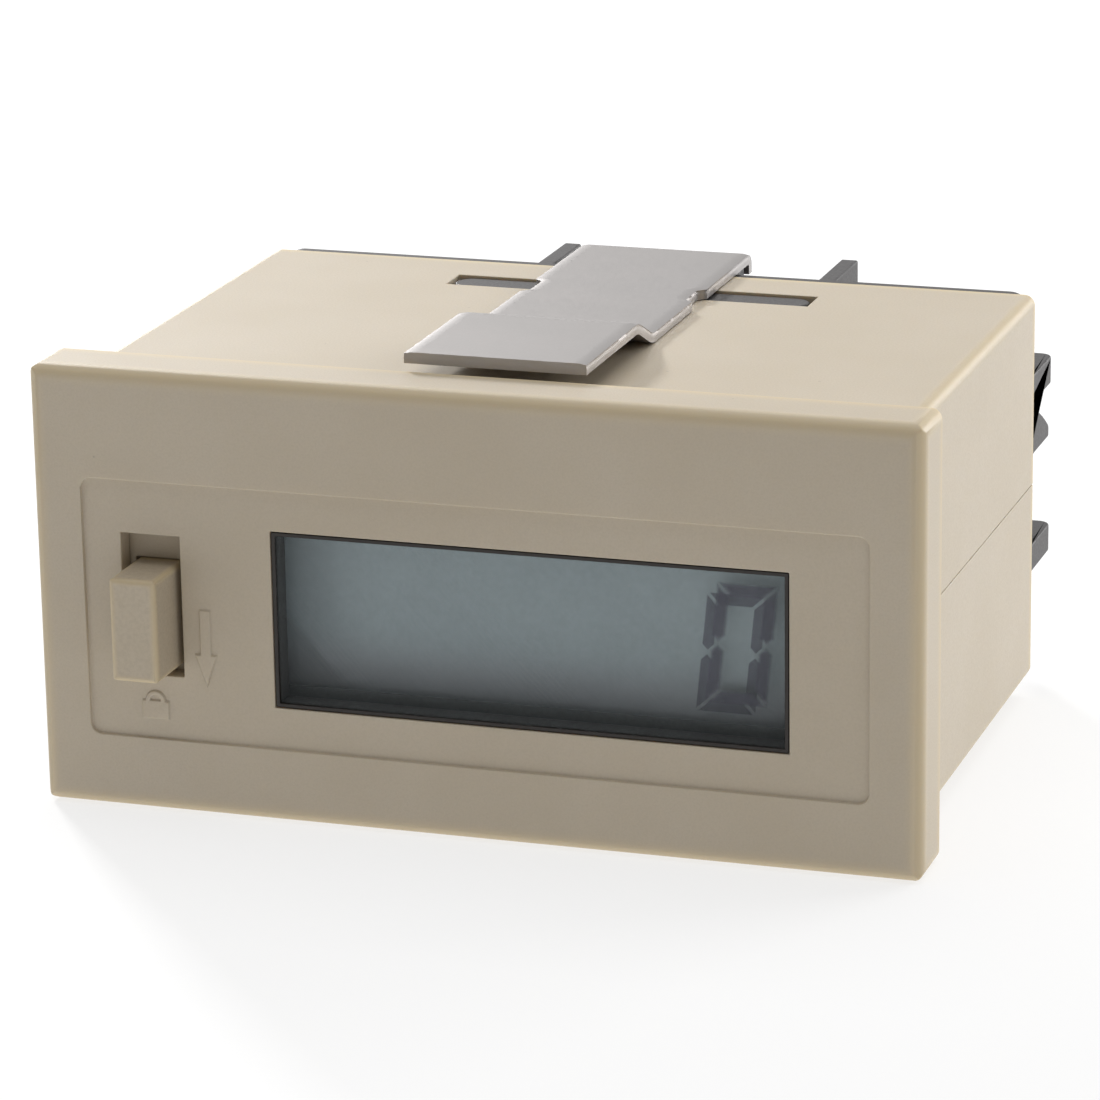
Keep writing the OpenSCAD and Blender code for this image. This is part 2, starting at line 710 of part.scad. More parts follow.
// Silicone pad with a dome that lifts the key
dome_base_r = 1.9;
dome_top_r = 1.3;
module key_pad() color([0.5, 0.5, 0.5, 0.8]) at_key() {
    top_y = flange_y + flange_t + rest_gap;
    base_y = carrier_back - pad_base_t;
    difference() {
        union() {
            bar(carrier_w - 0.2, pad_base_t, key_h + 2 * flange_end + 0.4, 0, base_y, 0);
            translate([0, top_y, 0]) rotate([-90, 0, 0])
                cylinder(h = base_y - top_y + eps, r1 = dome_top_r, r2 = dome_base_r);
        }
        translate([0, top_y + dome_top_t, 0]) rotate([-90, 0, 0])
            cylinder(h = carrier_back - top_y, r1 = dome_top_r - dome_wall, r2 = dome_base_r - dome_wall + 0.2);
    }
}

// Carbon pill that bridges the pads when the unlocked key is pressed
module contact_pill() color(black) at_key() translate([0, pill_y, 0]) rotate([-90, 0, 0])
    cylinder(h = pill_l, d = pill_d);

// Steel strip with a raised front end and a lip that turns down behind the case
notch_y = 19.5;
notch_l = 2.4;
notch_d = 0.45;
lip_gap = 0.3;
module mounting_clip() color(steel) {
    low = case_h / 2 + run_gap + clip_t / 2;
    high = low + clip_rise;
    step_y = clip_front_gap + clip_front_l;
    hook_y = case_l + rest_l + lip_gap + clip_t / 2;
    path = [[clip_front_gap, high], [step_y, high], [step_y + clip_step_l, low],
        [hook_y - clip_t, low], [hook_y, low - clip_t], [hook_y, low - clip_hook]];
    difference() {
        along_x(clip_x - clip_w / 2, clip_w) strip(path, clip_t);
        for (side = [-1, 1])
            bar(2 * notch_d, notch_l, 2, clip_x + side * clip_w / 2, notch_y, low);
    }
}

// An even strip that follows a bent path, with round bends
module strip(path, t) {
    last = len(path) - 1;
    for (i = [0 : last - 1]) {
        step = path[i + 1] - path[i];
        translate(path[i]) rotate(atan2(step[1], step[0])) translate([0, -t / 2]) square([norm(step), t]);
    }
    for (i = [1 : last - 1]) translate(path[i]) circle(t / 2);
}

front_bezel();
upper_case();
lower_case();
terminal_block();
window_lens();
display_mask();
front_polariser();
front_glass();
glass_seal();
digit_segments();
rear_glass();
rear_polariser();
upper_contact_strip();
lower_contact_strip();
display_holder();
circuit_board();
reset_pads();
counter_chip();
input_isolator();
crystal();
chip_capacitors();
chip_resistors();
lithium_cell();
plus_tab();
minus_tab();
input_leads();
contact_plate(1);  // contact_plate_1
contact_plate(2);  // contact_plate_2
contact_plate(3);  // contact_plate_3
contact_plate(4);  // contact_plate_4
clamp_washer(1);  // clamp_washer_1
clamp_washer(2);  // clamp_washer_2
clamp_washer(3);  // clamp_washer_3
clamp_washer(4);  // clamp_washer_4
terminal_screw(1);  // terminal_screw_1
terminal_screw(2);  // terminal_screw_2
terminal_screw(3);  // terminal_screw_3
terminal_screw(4);  // terminal_screw_4
key_carrier();
reset_key();
key_pad();
contact_pill();
mounting_clip();
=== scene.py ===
"""Finished pieces, finishes, stage and camera for the panel-mounted pulse counter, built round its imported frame."""

import math

import bmesh
import bpy
import numpy as np
from bpy.props import FloatProperty, FloatVectorProperty, IntProperty, PointerProperty
from mathutils import Matrix, Vector, noise


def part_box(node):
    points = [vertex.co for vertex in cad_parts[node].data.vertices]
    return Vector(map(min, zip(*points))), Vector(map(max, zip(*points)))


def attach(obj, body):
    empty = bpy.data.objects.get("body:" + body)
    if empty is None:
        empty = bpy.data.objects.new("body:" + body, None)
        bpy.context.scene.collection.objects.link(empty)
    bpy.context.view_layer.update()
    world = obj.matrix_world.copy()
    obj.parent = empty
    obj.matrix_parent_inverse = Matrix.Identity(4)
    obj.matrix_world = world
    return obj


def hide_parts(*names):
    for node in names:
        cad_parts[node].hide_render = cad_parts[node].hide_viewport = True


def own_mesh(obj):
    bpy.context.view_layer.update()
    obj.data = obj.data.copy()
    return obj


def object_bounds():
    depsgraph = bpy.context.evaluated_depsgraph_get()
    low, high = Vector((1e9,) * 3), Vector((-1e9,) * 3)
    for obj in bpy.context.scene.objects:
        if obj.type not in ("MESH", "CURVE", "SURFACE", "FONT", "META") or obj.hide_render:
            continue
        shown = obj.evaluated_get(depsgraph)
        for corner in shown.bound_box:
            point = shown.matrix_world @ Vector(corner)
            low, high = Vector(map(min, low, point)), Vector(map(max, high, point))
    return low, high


bl_info = {
    "name": "Panel Pulse Counter",
    "version": (1, 0, 0),
    "blender": (4, 5, 0),
    "location": "View3D > Sidebar > Counter",
    "description": "Builds the finished pieces of a panel-mounted pulse counter",
    "category": "Object",
}

MM = 0.001
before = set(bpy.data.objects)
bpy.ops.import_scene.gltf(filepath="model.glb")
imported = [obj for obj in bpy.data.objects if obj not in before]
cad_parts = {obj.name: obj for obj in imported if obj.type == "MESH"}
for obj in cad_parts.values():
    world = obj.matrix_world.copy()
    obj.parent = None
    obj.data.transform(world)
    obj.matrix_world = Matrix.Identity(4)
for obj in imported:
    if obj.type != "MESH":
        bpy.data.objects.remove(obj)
CAD_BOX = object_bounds()


def length(name, description, default_mm, low_mm=0.0, high_mm=50.0):
    """A length property, given in millimetres and held in metres."""
    return FloatProperty(name=name, description=description, default=default_mm * MM,
                         min=low_mm * MM, max=high_mm * MM, unit="LENGTH", precision=5)


def tint(name, description, default):
    """A colour property."""
    return FloatVectorProperty(name=name, description=description, default=default,
                               min=0.0, max=1.0, size=3, subtype="COLOR")


class CounterSizes(bpy.types.PropertyGroup):
    """Sizes of the fine detail that the finished pieces add to the frame."""

    frame_edge: length("Front frame edge", "Radius of the fine edges of the front frame", 0.07, 0.01, 0.15)
    case_edge: length("Case edge", "Radius of the fine edges of the case halves", 0.05, 0.01, 0.2)
    pad_edge: length("Pad edge", "Rounding of the silicone pad's edges", 0.03, 0.01, 0.1)
    key_travel: length("Key travel", "How far the pressed key flattens the silicone pad", 1.03, 0.5, 1.2)
    block_edge: length("Terminal block edge", "Radius of the edges of the terminal block", 0.12, 0.01, 0.2)
    key_edge: length("Key edge", "Radius of the fine edges of the key and its carrier", 0.06, 0.01, 0.1)
    lens_edge: length("Lens edge", "Width of the polished bevel round the window lens", 0.10, 0.01, 0.15)
    mask_edge: length("Mask edge", "Radius of the fine edges of the window's black frame", 0.03, 0.01, 0.1)
    pane_edge: length("Pane edge", "Width of the bevel round the display's glass panes", 0.05, 0.01, 0.1)
    plate_edge: length("Contact plate edge", "Radius of the edges of a contact plate", 0.06, 0.01, 0.15)
    segment_width: length("Segment width", "Width of one segment of the nought", 0.62, 0.3, 1.0)
    segment_gap: length("Segment gap", "Half the space between two neighbouring segments", 0.12, 0.02, 0.3)
    segment_lean: FloatProperty(name="Segment lean", description="Slant of the nought to the right",
                                default=math.radians(6.0), subtype="ANGLE")
    clip_thick: length("Clip thickness", "Thickness of the clip's steel", 0.6, 0.4, 0.8)
    clip_front: length("Clip front length", "Length of the clip's raised front end", 9.0, 5.0, 12.0)
    clip_run: length("Clip step length", "Length over which the clip steps down", 2.6, 1.5, 4.0)
    clip_gap: length("Clip clearance", "Space between the clip and the case under it", 0.05, 0.0, 0.2)
    notch_start: length("Clip notch start", "Front end of the side notches, from the panel face", 19.5, 10.0, 25.0)
    notch_end: length("Clip notch end", "Rear end of the side notches, from the panel face", 21.9, 10.0, 27.0)
    notch_depth: length("Clip notch depth", "Depth of the clip's side notches", 0.45, 0.1, 1.0)
    clip_step: length("Clip step bends", "Radius of the step's two bends, to the middle of the steel", 2.4, 0.35, 4.0)
    clip_bend: length("Clip end bend", "Radius of the rear bend, to the middle of the steel", 0.75, 0.35, 1.2)
    clip_roll: length("Clip edge roll", "Radius of the rounded upper edges that the press leaves", 0.14, 0.02, 0.25)
    clip_rough: length("Clip shear roughness", "Depth of the roughness on the clip's sheared edges", 0.035, 0.0, 0.08)
    screw_slot: length("Screw slot width", "Width of the cross slot in a terminal screw", 0.7, 0.3, 1.2)
    thread_pitch: length("Thread pitch", "Rise of a terminal screw's thread in one turn", 0.45, 0.3, 0.8)


class CounterFinishes(bpy.types.PropertyGroup):
    """Colours of the main finishes."""

    case: tint("Case", "Moulded case and front frame", (0.55, 0.476, 0.367))
    key: tint("Key", "Reset key and its carrier", (0.53, 0.455, 0.345))
    block: tint("Terminal block", "Dark grey rear block", (0.050, 0.046, 0.046))
    steel: tint("Steel", "Mounting clip", (0.41, 0.395, 0.385))
    mask: tint("Mask", "Black frame that lines the window", (0.020, 0.015, 0.012))
    film: tint("Display film", "Reflecting film behind the display", (0.50, 0.60, 0.63))
    segment: tint("Segment", "Dark segments of the display", (0.050, 0.042, 0.085))
    zinc: tint("Screw plating", "Plated screws and washers", (0.70, 0.70, 0.68))
    brass: tint("Brass", "Contact plates", (0.70, 0.50, 0.22))


class CounterStage(bpy.types.PropertyGroup):
    """Camera, floor and lights."""

    azimuth: FloatProperty(name="Azimuth", description="Camera's turn to the right of the front",
                           default=math.radians(18.356), subtype="ANGLE")
    elevation: FloatProperty(name="Elevation", description="Camera's height above the horizon",
                             default=math.radians(16.788), subtype="ANGLE")
    roll: FloatProperty(name="Roll", description="Camera's roll", default=math.radians(-0.933), subtype="ANGLE")
    distance: length("Distance", "Camera to its target", 270.82, 50.0, 2000.0)
    focal: FloatProperty(name="Focal length", description="Focal length on a 36 mm sensor, in millimetres",
                         default=161.675, min=20.0, max=400.0)
    target: FloatVectorProperty(name="Target", description="Point that the camera looks at", size=3,
                                default=(-1.715 * MM, 15.0 * MM, -1.827 * MM), subtype="TRANSLATION", unit="LENGTH")
    floor_size: length("Floor size", "Side of the floor", 2400.0, 500.0, 6000.0)
    back_light: FloatProperty(name="Back light", description="Brightness of the large panel behind",
                             default=0.5, min=0.0)
    side_light: FloatProperty(name="Side light", description="Brightness of the panel on the right",
                             default=7.0, min=0.0)
    top_light: FloatProperty(name="Top light", description="Brightness of the panel above", default=1.85, min=0.0)
    corner_light: FloatProperty(name="Corner light",
                                description="Brightness of the small lamp at the upper back left",
                                default=110.0, min=0.0)
    sky: FloatProperty(name="Surroundings", description="Brightness of the white surroundings",
                       default=0.2, min=0.0)
    floor_light: FloatProperty(name="Floor light", description="Light that comes through the pale floor",
                              default=0.71, min=0.0)


def sizes():
    """Sizes set in the panel."""
    return bpy.context.scene.counter_sizes


def finishes():
    """Colours set in the panel."""
    return bpy.context.scene.counter_finishes


def setting():
    """Camera, floor and light values set in the panel."""
    return bpy.context.scene.counter_stage


# ---------------------------------------------------------------- finishes


class Recipe:
    """One node material, with short calls for its nodes. Patterns read Object coordinates in millimetres."""

    def __init__(self, name, **uniform):
        self.material = bpy.data.materials.new(name)
        self.material.use_nodes = True
        self.tree = self.material.node_tree
        self.tree.nodes.clear()
        self.shader = self.tree.nodes.new("ShaderNodeBsdfPrincipled")
        out = self.tree.nodes.new("ShaderNodeOutputMaterial")
        self.tree.links.new(self.shader.outputs["BSDF"], out.inputs["Surface"])
        for socket, value in uniform.items():
            self.shader.inputs[socket.replace("_", " ")].default_value = value
        coordinates = self.tree.nodes.new("ShaderNodeTexCoord")
        scaled = self.tree.nodes.new("ShaderNodeMapping")
        scaled.inputs["Scale"].default_value = (1 / MM, 1 / MM, 1 / MM)
        self.tree.links.new(coordinates.outputs["Object"], scaled.inputs["Vector"])
        self.place = scaled.outputs["Vector"]

    def put(self, value, socket):
        """Links a socket to another, or sets its value."""
        if isinstance(value, bpy.types.NodeSocket):
            self.tree.links.new(value, socket)
        else:
            socket.default_value = value

    def noise(self, scale, detail=2.0, rough=0.5, stretch=(1, 1, 1), turn=(0, 0, 0)):
        """Noise with about `scale` features a millimetre, stretched by `stretch`."""
        node = self.tree.nodes.new("ShaderNodeTexNoise")
        node.inputs["Scale"].default_value = scale
        node.inputs["Detail"].default_value = detail
        node.inputs["Roughness"].default_value = rough
        self.tree.links.new(self.stretched(stretch, turn), node.inputs["Vector"])
        return node.outputs["Fac"]

    def stretched(self, stretch, turn=(0, 0, 0)):
        """Object coordinates stretched and turned."""
        if tuple(stretch) == (1, 1, 1) and tuple(turn) == (0, 0, 0):
            return self.place
        node = self.tree.nodes.new("ShaderNodeMapping")
        node.inputs["Scale"].default_value = [1 / s for s in stretch]
        node.inputs["Rotation"].default_value = turn
        self.tree.links.new(self.place, node.inputs["Vector"])
        return node.outputs["Vector"]

    def cells(self, scale, randomness=1.0, feature="F1"):
        """Distance to the nearest of about `scale` points a millimetre."""
        node = self.tree.nodes.new("ShaderNodeTexVoronoi")
        node.feature = feature
        node.inputs["Scale"].default_value = scale
        node.inputs["Randomness"].default_value = randomness
        self.tree.links.new(self.place, node.inputs["Vector"])
        return node.outputs["Distance"]

    def axis(self, letter):
        """One object coordinate, in millimetres."""
        node = self.tree.nodes.new("ShaderNodeSeparateXYZ")
        self.tree.links.new(self.place, node.inputs["Vector"])
        return node.outputs[letter]

    def maths(self, kind, a, b=0.0, c=0.0):
        node = self.tree.nodes.new("ShaderNodeMath")
        node.operation = kind
        for value, socket in zip((a, b, c), node.inputs):
            self.put(value, socket)
        return node.outputs["Value"]

    def span(self, value, low, high, to_low=0.0, to_high=1.0):
        """Smooth change from to_low at low to to_high at high."""
        node = self.tree.nodes.new("ShaderNodeMapRange")
        node.interpolation_type = "SMOOTHSTEP"
        labels = ("Value", "From Min", "From Max", "To Min", "To Max")
        for socket, v in zip(labels, (value, low, high, to_low, to_high)):
            self.put(v, node.inputs[socket])
        return node.outputs["Result"]

    def edge_share(self, low, high, reach):
        """How near a point lies to two faces of a box at once: 1 on an edge, 0 further in than reach."""
        shares = []
        for letter, a, b in zip("XYZ", Vector(low) / MM, Vector(high) / MM):
            value = self.axis(letter)
            inside = self.maths("MINIMUM", self.maths("SUBTRACT", value, a), self.maths("SUBTRACT", b, value))
            shares.append(self.span(inside, 0.0, reach, 1.0, 0.0))
        x, y, z = shares
        pairs = [self.maths("MINIMUM", a, b) for a, b in ((x, y), (y, z), (x, z))]
        return self.maths("MAXIMUM", self.maths("MAXIMUM", pairs[0], pairs[1]), pairs[2])

    def mix(self, share, a, b, kind="MIX"):
        """Colour a, giving way to b by share."""
        node = self.tree.nodes.new("ShaderNodeMix")
        node.data_type = "RGBA"
        node.blend_type = kind
        self.put(share, node.inputs[0])
        for value, socket in ((a, node.inputs[6]), (b, node.inputs[7])):
            self.put(value if isinstance(value, bpy.types.NodeSocket) else (*value, 1.0), socket)
        return node.outputs[2]

    def colour(self, value):
        """Sets the base colour."""
        linked = isinstance(value, bpy.types.NodeSocket)
        self.put(value if linked else (*value, 1.0), self.shader.inputs["Base Color"])
        return self

    def set(self, socket, value):
        """Sets or links one socket of the shader."""
        self.put(value, self.shader.inputs[socket])
        return self

    def bump(self, height, depth_mm, strength=1.0):
        """Raises the surface by height times depth_mm."""
        node = self.tree.nodes.new("ShaderNodeBump")
        node.inputs["Strength"].default_value = strength
        node.inputs["Distance"].default_value = depth_mm * MM
        self.put(height, node.inputs["Height"])
        self.tree.links.new(node.outputs["Normal"], self.shader.inputs["Normal"])
        return self


def shade(colour, factor):
    """A colour times one factor, or times one factor for each channel."""
    return tuple(min(1.0, c * f) for c, f in zip(colour, factor if hasattr(factor, "__len__") else (factor,) * 3))


def moulded(name, colour, roughness=0.45, grain=9.0, depth=0.006, speck=0.35, dust=True, glow=0.0, edges=None):
    """Spark-eroded moulded plastic: fine satin grain, faint flow clouds, and a few dust specks.

    edges is (low, high, reach in mm): the box along whose edges a warmer, paler colour is painted, a painted glow
    that stands in for light coming through the thin edges.
    """
    uniform = {"Roughness": roughness, "IOR": 1.5}
    if glow:
        uniform |= {"Subsurface_Weight": glow, "Subsurface_Scale": 0.0009, "Subsurface_Radius": (1.0, 0.72, 0.38)}
    r = Recipe(name, **uniform)
    clouds = r.noise(0.11, 3.0, 0.55)
    fine = r.noise(grain, 3.0, 0.6)
    base = r.mix(r.span(clouds, 0.3, 0.7), shade(colour, (0.975, 0.965, 0.95)), shade(colour, (1.02, 1.02, 1.03)))
    base = r.mix(r.maths("MULTIPLY", r.span(fine, 0.35, 0.72), speck), base, shade(colour, (0.86, 0.85, 0.83)))
    if edges:
        # painted highlight: a warmer, paler colour along the box's edges, for light that shines through the thin
        # edges
        base = r.mix(r.edge_share(*edges), base, shade(colour, (1.14, 1.08, 0.90)))
    if dust:
        specks = r.span(r.cells(0.3), 0.026, 0.016)
        base = r.mix(r.maths("MULTIPLY", specks, 0.35), base, shade(colour, 0.4))
    r.colour(base)
    r.set("Roughness", r.span(fine, 0.2, 0.8, roughness - 0.06, roughness + 0.1))
    r.bump(r.maths("ADD", fine, r.maths("MULTIPLY", r.noise(grain * 0.35, 2.0), 0.6)), depth)
    return r.material


def label_field(colour):
    """The frosted field sunk in the front: coarser, flatter grain with pale points."""
    r = Recipe("label_field", Roughness=0.62, IOR=1.5)
    grain = r.noise(5.2, 4.0, 0.65)
    points = r.span(r.noise(3.1, 1.0, 0.4), 0.66, 0.74)
    base = r.mix(r.span(grain, 0.35, 0.68), shade(colour, (0.90, 0.90, 0.89)), shade(colour, (1.05, 1.06, 1.06)))
    base = r.mix(r.maths("MULTIPLY", points, 0.22), base, shade(colour, (1.35, 1.38, 1.42)))
    r.colour(base)
    r.set("Roughness", r.span(grain, 0.3, 0.7, 0.52, 0.72))
    r.bump(grain, 0.016)
    return r.material


def rolled_steel(name, colour, roughness=0.42, along=(1, 2.5, 1), depth=0.0008):
    """Cold-rolled strip: fine lines along the rolling, faint cloudy stains."""
    r = Recipe(name, Metallic=1.0, Roughness=roughness)
    lines = r.noise(7.0, 3.0, 0.6, stretch=along)
    clouds = r.noise(0.35, 3.0, 0.6)
    base = r.mix(r.span(clouds, 0.35, 0.7), shade(colour, (0.985, 0.975, 0.975)), shade(colour, (1.015, 1.0, 1.0)))
    base = r.mix(r.maths("MULTIPLY", r.span(lines, 0.35, 0.7), 0.06), base, shade(colour, 0.85))
    r.colour(base)
    r.set("Roughness", r.span(lines, 0.3, 0.7, roughness - 0.02, roughness + 0.03))
    r.bump(lines, depth)
    return r.material


def sheared_steel(colour):
    """The strip's cut edges: torn across the thickness, pale and grainy, with dark pits between shiny ridges."""
    r = Recipe("sheared_steel", Metallic=1.0, Roughness=0.42)
    torn = r.noise(7.0, 4.0, 0.75, stretch=(1, 1, 2.2))
    pits = r.noise(3.6, 4.0, 0.7)
    base = r.mix(r.span(torn, 0.38, 0.6), shade(colour, (1.0, 0.94, 0.78)), shade(colour, (2.35, 2.25, 1.95)))
    r.colour(r.mix(r.maths("MULTIPLY", r.span(pits, 0.52, 0.64), 0.75), base, shade(colour, (0.5, 0.46, 0.38))))
    r.set("Roughness", r.span(torn, 0.3, 0.7, 0.5, 0.3))
    r.bump(r.maths("ADD", torn, r.maths("MULTIPLY", pits, 0.7)), 0.05)
    return r.material


def plated(name, colour, roughness=0.3):
    """Plated metal with fine scratches and a cloudy film."""
    r = Recipe(name, Metallic=1.0, Roughness=roughness)
    scratches = r.noise(5.0, 2.0, 0.6, stretch=(9, 1, 1), turn=(0.2, 0.5, 0.7))
    clouds = r.noise(0.9, 3.0)
    r.colour(r.mix(r.span(clouds, 0.3, 0.7), shade(colour, (0.88, 0.88, 0.9)), shade(colour, (1.05, 1.04, 1.0))))
    r.set("Roughness", r.span(scratches, 0.35, 0.7, roughness - 0.08, roughness + 0.16))
    r.bump(scratches, 0.003)
    return r.material


def clear(name, colour, haze, roughness=0.06, gloss=1.0, dust=False):
    """Thin clear sheet or block: lets what is behind it through, with gloss and a share of haze and dust."""
    r = Recipe(name, Roughness=roughness, IOR=1.45)
    cloud = r.noise(0.6, 3.0, 0.6)
    murk = r.span(cloud, 0.3, 0.7, haze * 0.8, haze * 1.2)
    base = r.mix(r.span(cloud, 0.3, 0.7), shade(colour, 0.94), colour)
    if dust:
        specks = r.span(r.cells(0.33), 0.026, 0.014)
        murk = r.maths("MAXIMUM", murk, r.maths("MULTIPLY", specks, 0.9))
        base = r.mix(specks, base, (1.0, 1.0, 1.0))
    r.colour(base)
    facing = r.tree.nodes.new("ShaderNodeLayerWeight")
    facing.inputs["Blend"].default_value = 0.5
    sheen = r.maths("MULTIPLY_ADD", r.maths("POWER", facing.outputs["Facing"], 5.0), 0.8 * gloss, 0.03 * gloss)
    through = r.tree.nodes.new("ShaderNodeBsdfTransparent")
    both = r.tree.nodes.new("ShaderNodeMixShader")
    r.put(r.maths("ADD", sheen, murk), both.inputs[0])
    r.tree.links.new(through.outputs[0], both.inputs[1])
    r.tree.links.new(r.shader.outputs["BSDF"], both.inputs[2])
    out = next(n for n in r.tree.nodes if n.type == "OUTPUT_MATERIAL")
    r.tree.links.new(both.outputs[0], out.inputs["Surface"])
    return r.material


def mirror_film(colour):
    """Grey-green reflecting film of the display, with painted shade that makes it darker and more violet towards its
    left and lower edges, and painted light that makes it paler towards its upper edge.
    """
    low_corner, high_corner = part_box("window_lens")
    x0, z0, z1 = low_corner.x / MM, low_corner.z / MM, high_corner.z / MM
    r = Recipe("mirror_film", Roughness=0.55, IOR=1.4)
    grain = r.noise(3.0, 4.0, 0.7)
    base = r.mix(r.span(grain, 0.3, 0.7), shade(colour, 0.93), shade(colour, 1.07))
    # painted shade: darker, more violet film towards the left and lower edges, where the window's frame shades it
    left = r.span(r.axis("X"), x0 + 0.6, x0 + 4.2, 1.0, 0.0)
    low = r.span(r.axis("Z"), z0 + 0.4, z0 + 3.6, 1.0, 0.0)
    base = r.mix(r.maths("MULTIPLY", left, 0.25), base, shade(colour, (0.45, 0.42, 0.46)))
    base = r.mix(r.maths("MULTIPLY", low, 0.45), base, shade(colour, (0.78, 0.56, 0.60)))
    # painted light: paler film towards the upper edge
    top = r.span(r.axis("Z"), z1 - 1.3, z1 - 0.5, 0.0, 1.0)
    base = r.mix(r.maths("MULTIPLY", top, 0.25), base, shade(colour, (1.25, 1.28, 1.3)))
    r.colour(base)
    r.bump(grain, 0.002)
    return r.material


def plain_patterned(name, colour, roughness=0.5, grain=4.0, depth=0.01, contrast=0.12):
    """A small inner piece's finish: grain in colour, roughness and bump."""
    r = Recipe(name, Metallic=0.0, Roughness=roughness)
    fine = r.noise(grain, 3.0, 0.6)
    r.colour(r.mix(r.span(fine, 0.3, 0.7), shade(colour, 1 - contrast), shade(colour, 1 + contrast)))
    r.set("Roughness", r.span(fine, 0.3, 0.7, max(0.05, roughness - 0.08), roughness + 0.1))
    r.bump(fine, depth)
    return r.material


def layered(name, dark, light, pitch_mm, axis="X", roughness=0.6):
    """Even thin layers along one axis."""
    r = Recipe(name, Roughness=roughness)
    turn = r.maths("FRACT", r.maths("DIVIDE", r.axis(axis), pitch_mm))
    layer = r.span(r.maths("ABSOLUTE", r.maths("SUBTRACT", turn, 0.5)), 0.18, 0.3)
    r.colour(r.mix(layer, dark, light))
    r.bump(layer, 0.01)
    return r.material


def capped(name, body, ends, half_mm, centre_step):
    """A chip part's ceramic body between two tinned ends, repeated for each part in the row."""
    r = Recipe(name, Roughness=0.4)
    grain = r.noise(8.0, 2.0)
    near = None
    for centre in centre_step:
        gap = r.maths("ABSOLUTE", r.maths("SUBTRACT", r.axis("X"), centre))
        near = gap if near is None else r.maths("MINIMUM", near, gap)
    tin = r.span(near, half_mm - 0.35, half_mm - 0.3)
    r.colour(r.mix(tin, r.mix(grain, shade(body, 0.9), body), ends))
    r.set("Metallic", tin)
    r.bump(grain, 0.008)
    return r.material


# ---------------------------------------------------------------- mesh helpers


def clean_bmesh(node):
    """A CAD node's mesh as a bmesh, with its doubles merged and its flat faces joined."""
    work = bmesh.new()
    work.from_mesh(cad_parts[node].data)
    bmesh.ops.remove_doubles(work, verts=work.verts, dist=2e-7)
    bmesh.ops.dissolve_limit(work, angle_limit=math.radians(0.6), use_dissolve_boundaries=False,
                             verts=work.verts, edges=work.edges)
    return work


def new_piece(name, mesh, body, *replaced, materials=(), slot=None):
    """Links a finished mesh, gives it its materials and ties it to its body."""
    piece = bpy.data.objects.new(name, mesh)
    bpy.context.scene.collection.objects.link(piece)
    if materials:
        mesh.materials.clear()
        for material in materials:
            mesh.materials.append(material)
    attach(piece, body)
    if replaced:
        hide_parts(*replaced)
    return piece


def settled(piece_mesh, name, *modifiers):
    """The mesh with these modifiers applied. Each is (type, {settings})."""
    holder = bpy.data.objects.new(name + "_work", piece_mesh)
    bpy.context.scene.collection.objects.link(holder)
    for kind, settings in modifiers:
        modifier = holder.modifiers.new(kind.title(), kind)
        for key, value in settings.items():
            setattr(modifier, key, value)
    depsgraph = bpy.context.evaluated_depsgraph_get()
    made = bpy.data.meshes.new_from_object(holder.evaluated_get(depsgraph), preserve_all_data_layers=True,
                                           depsgraph=depsgraph)
    made.name = name
    bpy.data.objects.remove(holder)
    bpy.data.meshes.remove(piece_mesh)
    return made


def softened(node, name, radius, segments=3, sharp=32.0, edge_material=-1):
    """A CAD node's shape with its sharp edges rounded by radius."""
    work = clean_bmesh(node)
    for face in work.faces:
        face.smooth = True
        face.material_index = 0
    mesh = bpy.data.meshes.new(name)
    work.to_mesh(mesh)
    work.free()
    mesh.set_sharp_from_angle(angle=math.radians(60))
    return settled(
        mesh, name,
        ("BEVEL", {"width": radius, "segments": segments, "limit_method": "ANGLE", "angle_limit": math.radians(sharp),
                   "use_clamp_overlap": False, "material": edge_material, "harden_normals": False}),
        ("WEIGHTED_NORMAL", {"weight": 60, "keep_sharp": False}),
    )


def outward(mesh):
    """The mesh with its doubles merged and its faces turned outwards."""
    work = bmesh.new()
    work.from_mesh(mesh)
    bmesh.ops.remove_doubles(work, verts=work.verts, dist=1e-8)
    bmesh.ops.recalc_face_normals(work, faces=work.faces)
    work.to_mesh(mesh)
    work.free()
    return mesh


def smooth(mesh, angle=40.0):
    """The mesh shaded smooth, with edges sharper than angle kept crisp."""
    mesh.shade_smooth()
    mesh.set_sharp_from_angle(angle=math.radians(angle))
    return mesh


# ---------------------------------------------------------------- case and front


def paint_faces(mesh, index, test):
    """Gives the faces whose centre passes the test another of the piece's materials."""
    for polygon in mesh.polygons:
        if test(polygon):
            polygon.material_index = index


class COUNTER_OT_front_frame(bpy.types.Operator):
    """Makes the front frame with its frosted field, raised arrow and padlock"""

    bl_idname = "counter.front_frame"
    bl_label = "Front frame"

    def execute(self, context):
        mesh = softened("front_bezel", "front_frame", sizes().frame_edge)
        low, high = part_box("front_bezel")
        face = low.y
        field = [p.center.y for p in mesh.polygons
                 if p.normal.y < -0.99 and face + 0.1 * MM < p.center.y < face + 0.4 * MM and p.area > 1e-5]
        if not field:
            raise RuntimeError("the sunk field of the front frame was not found")
        floor = max(field)
        paint_faces(mesh, 1, lambda p: p.normal.y < -0.99 and abs(p.center.y - floor) < 0.02 * MM)
        paint_faces(mesh, 2, lambda p: p.normal.y < -0.99 and 0.05 * MM < floor - p.center.y < 0.15 * MM)
        colour = tuple(finishes().case)
        # the box along whose edges the frame's plastic gets a painted glow, a warmer, paler colour
        rim = (low, Vector((high.x, 0.0, high.z)), 1.1)
        new_piece("front_frame", mesh, "root", "front_bezel", slot="case_plastic",
                  materials=[moulded("case_plastic_front", colour, glow=0.16, edges=rim),
                             label_field(shade(colour, (0.93, 0.93, 0.92))),
                             moulded("raised_mark", shade(colour, (1.04, 1.02, 1.02)), speck=0.15, dust=False)])
        return {"FINISHED"}


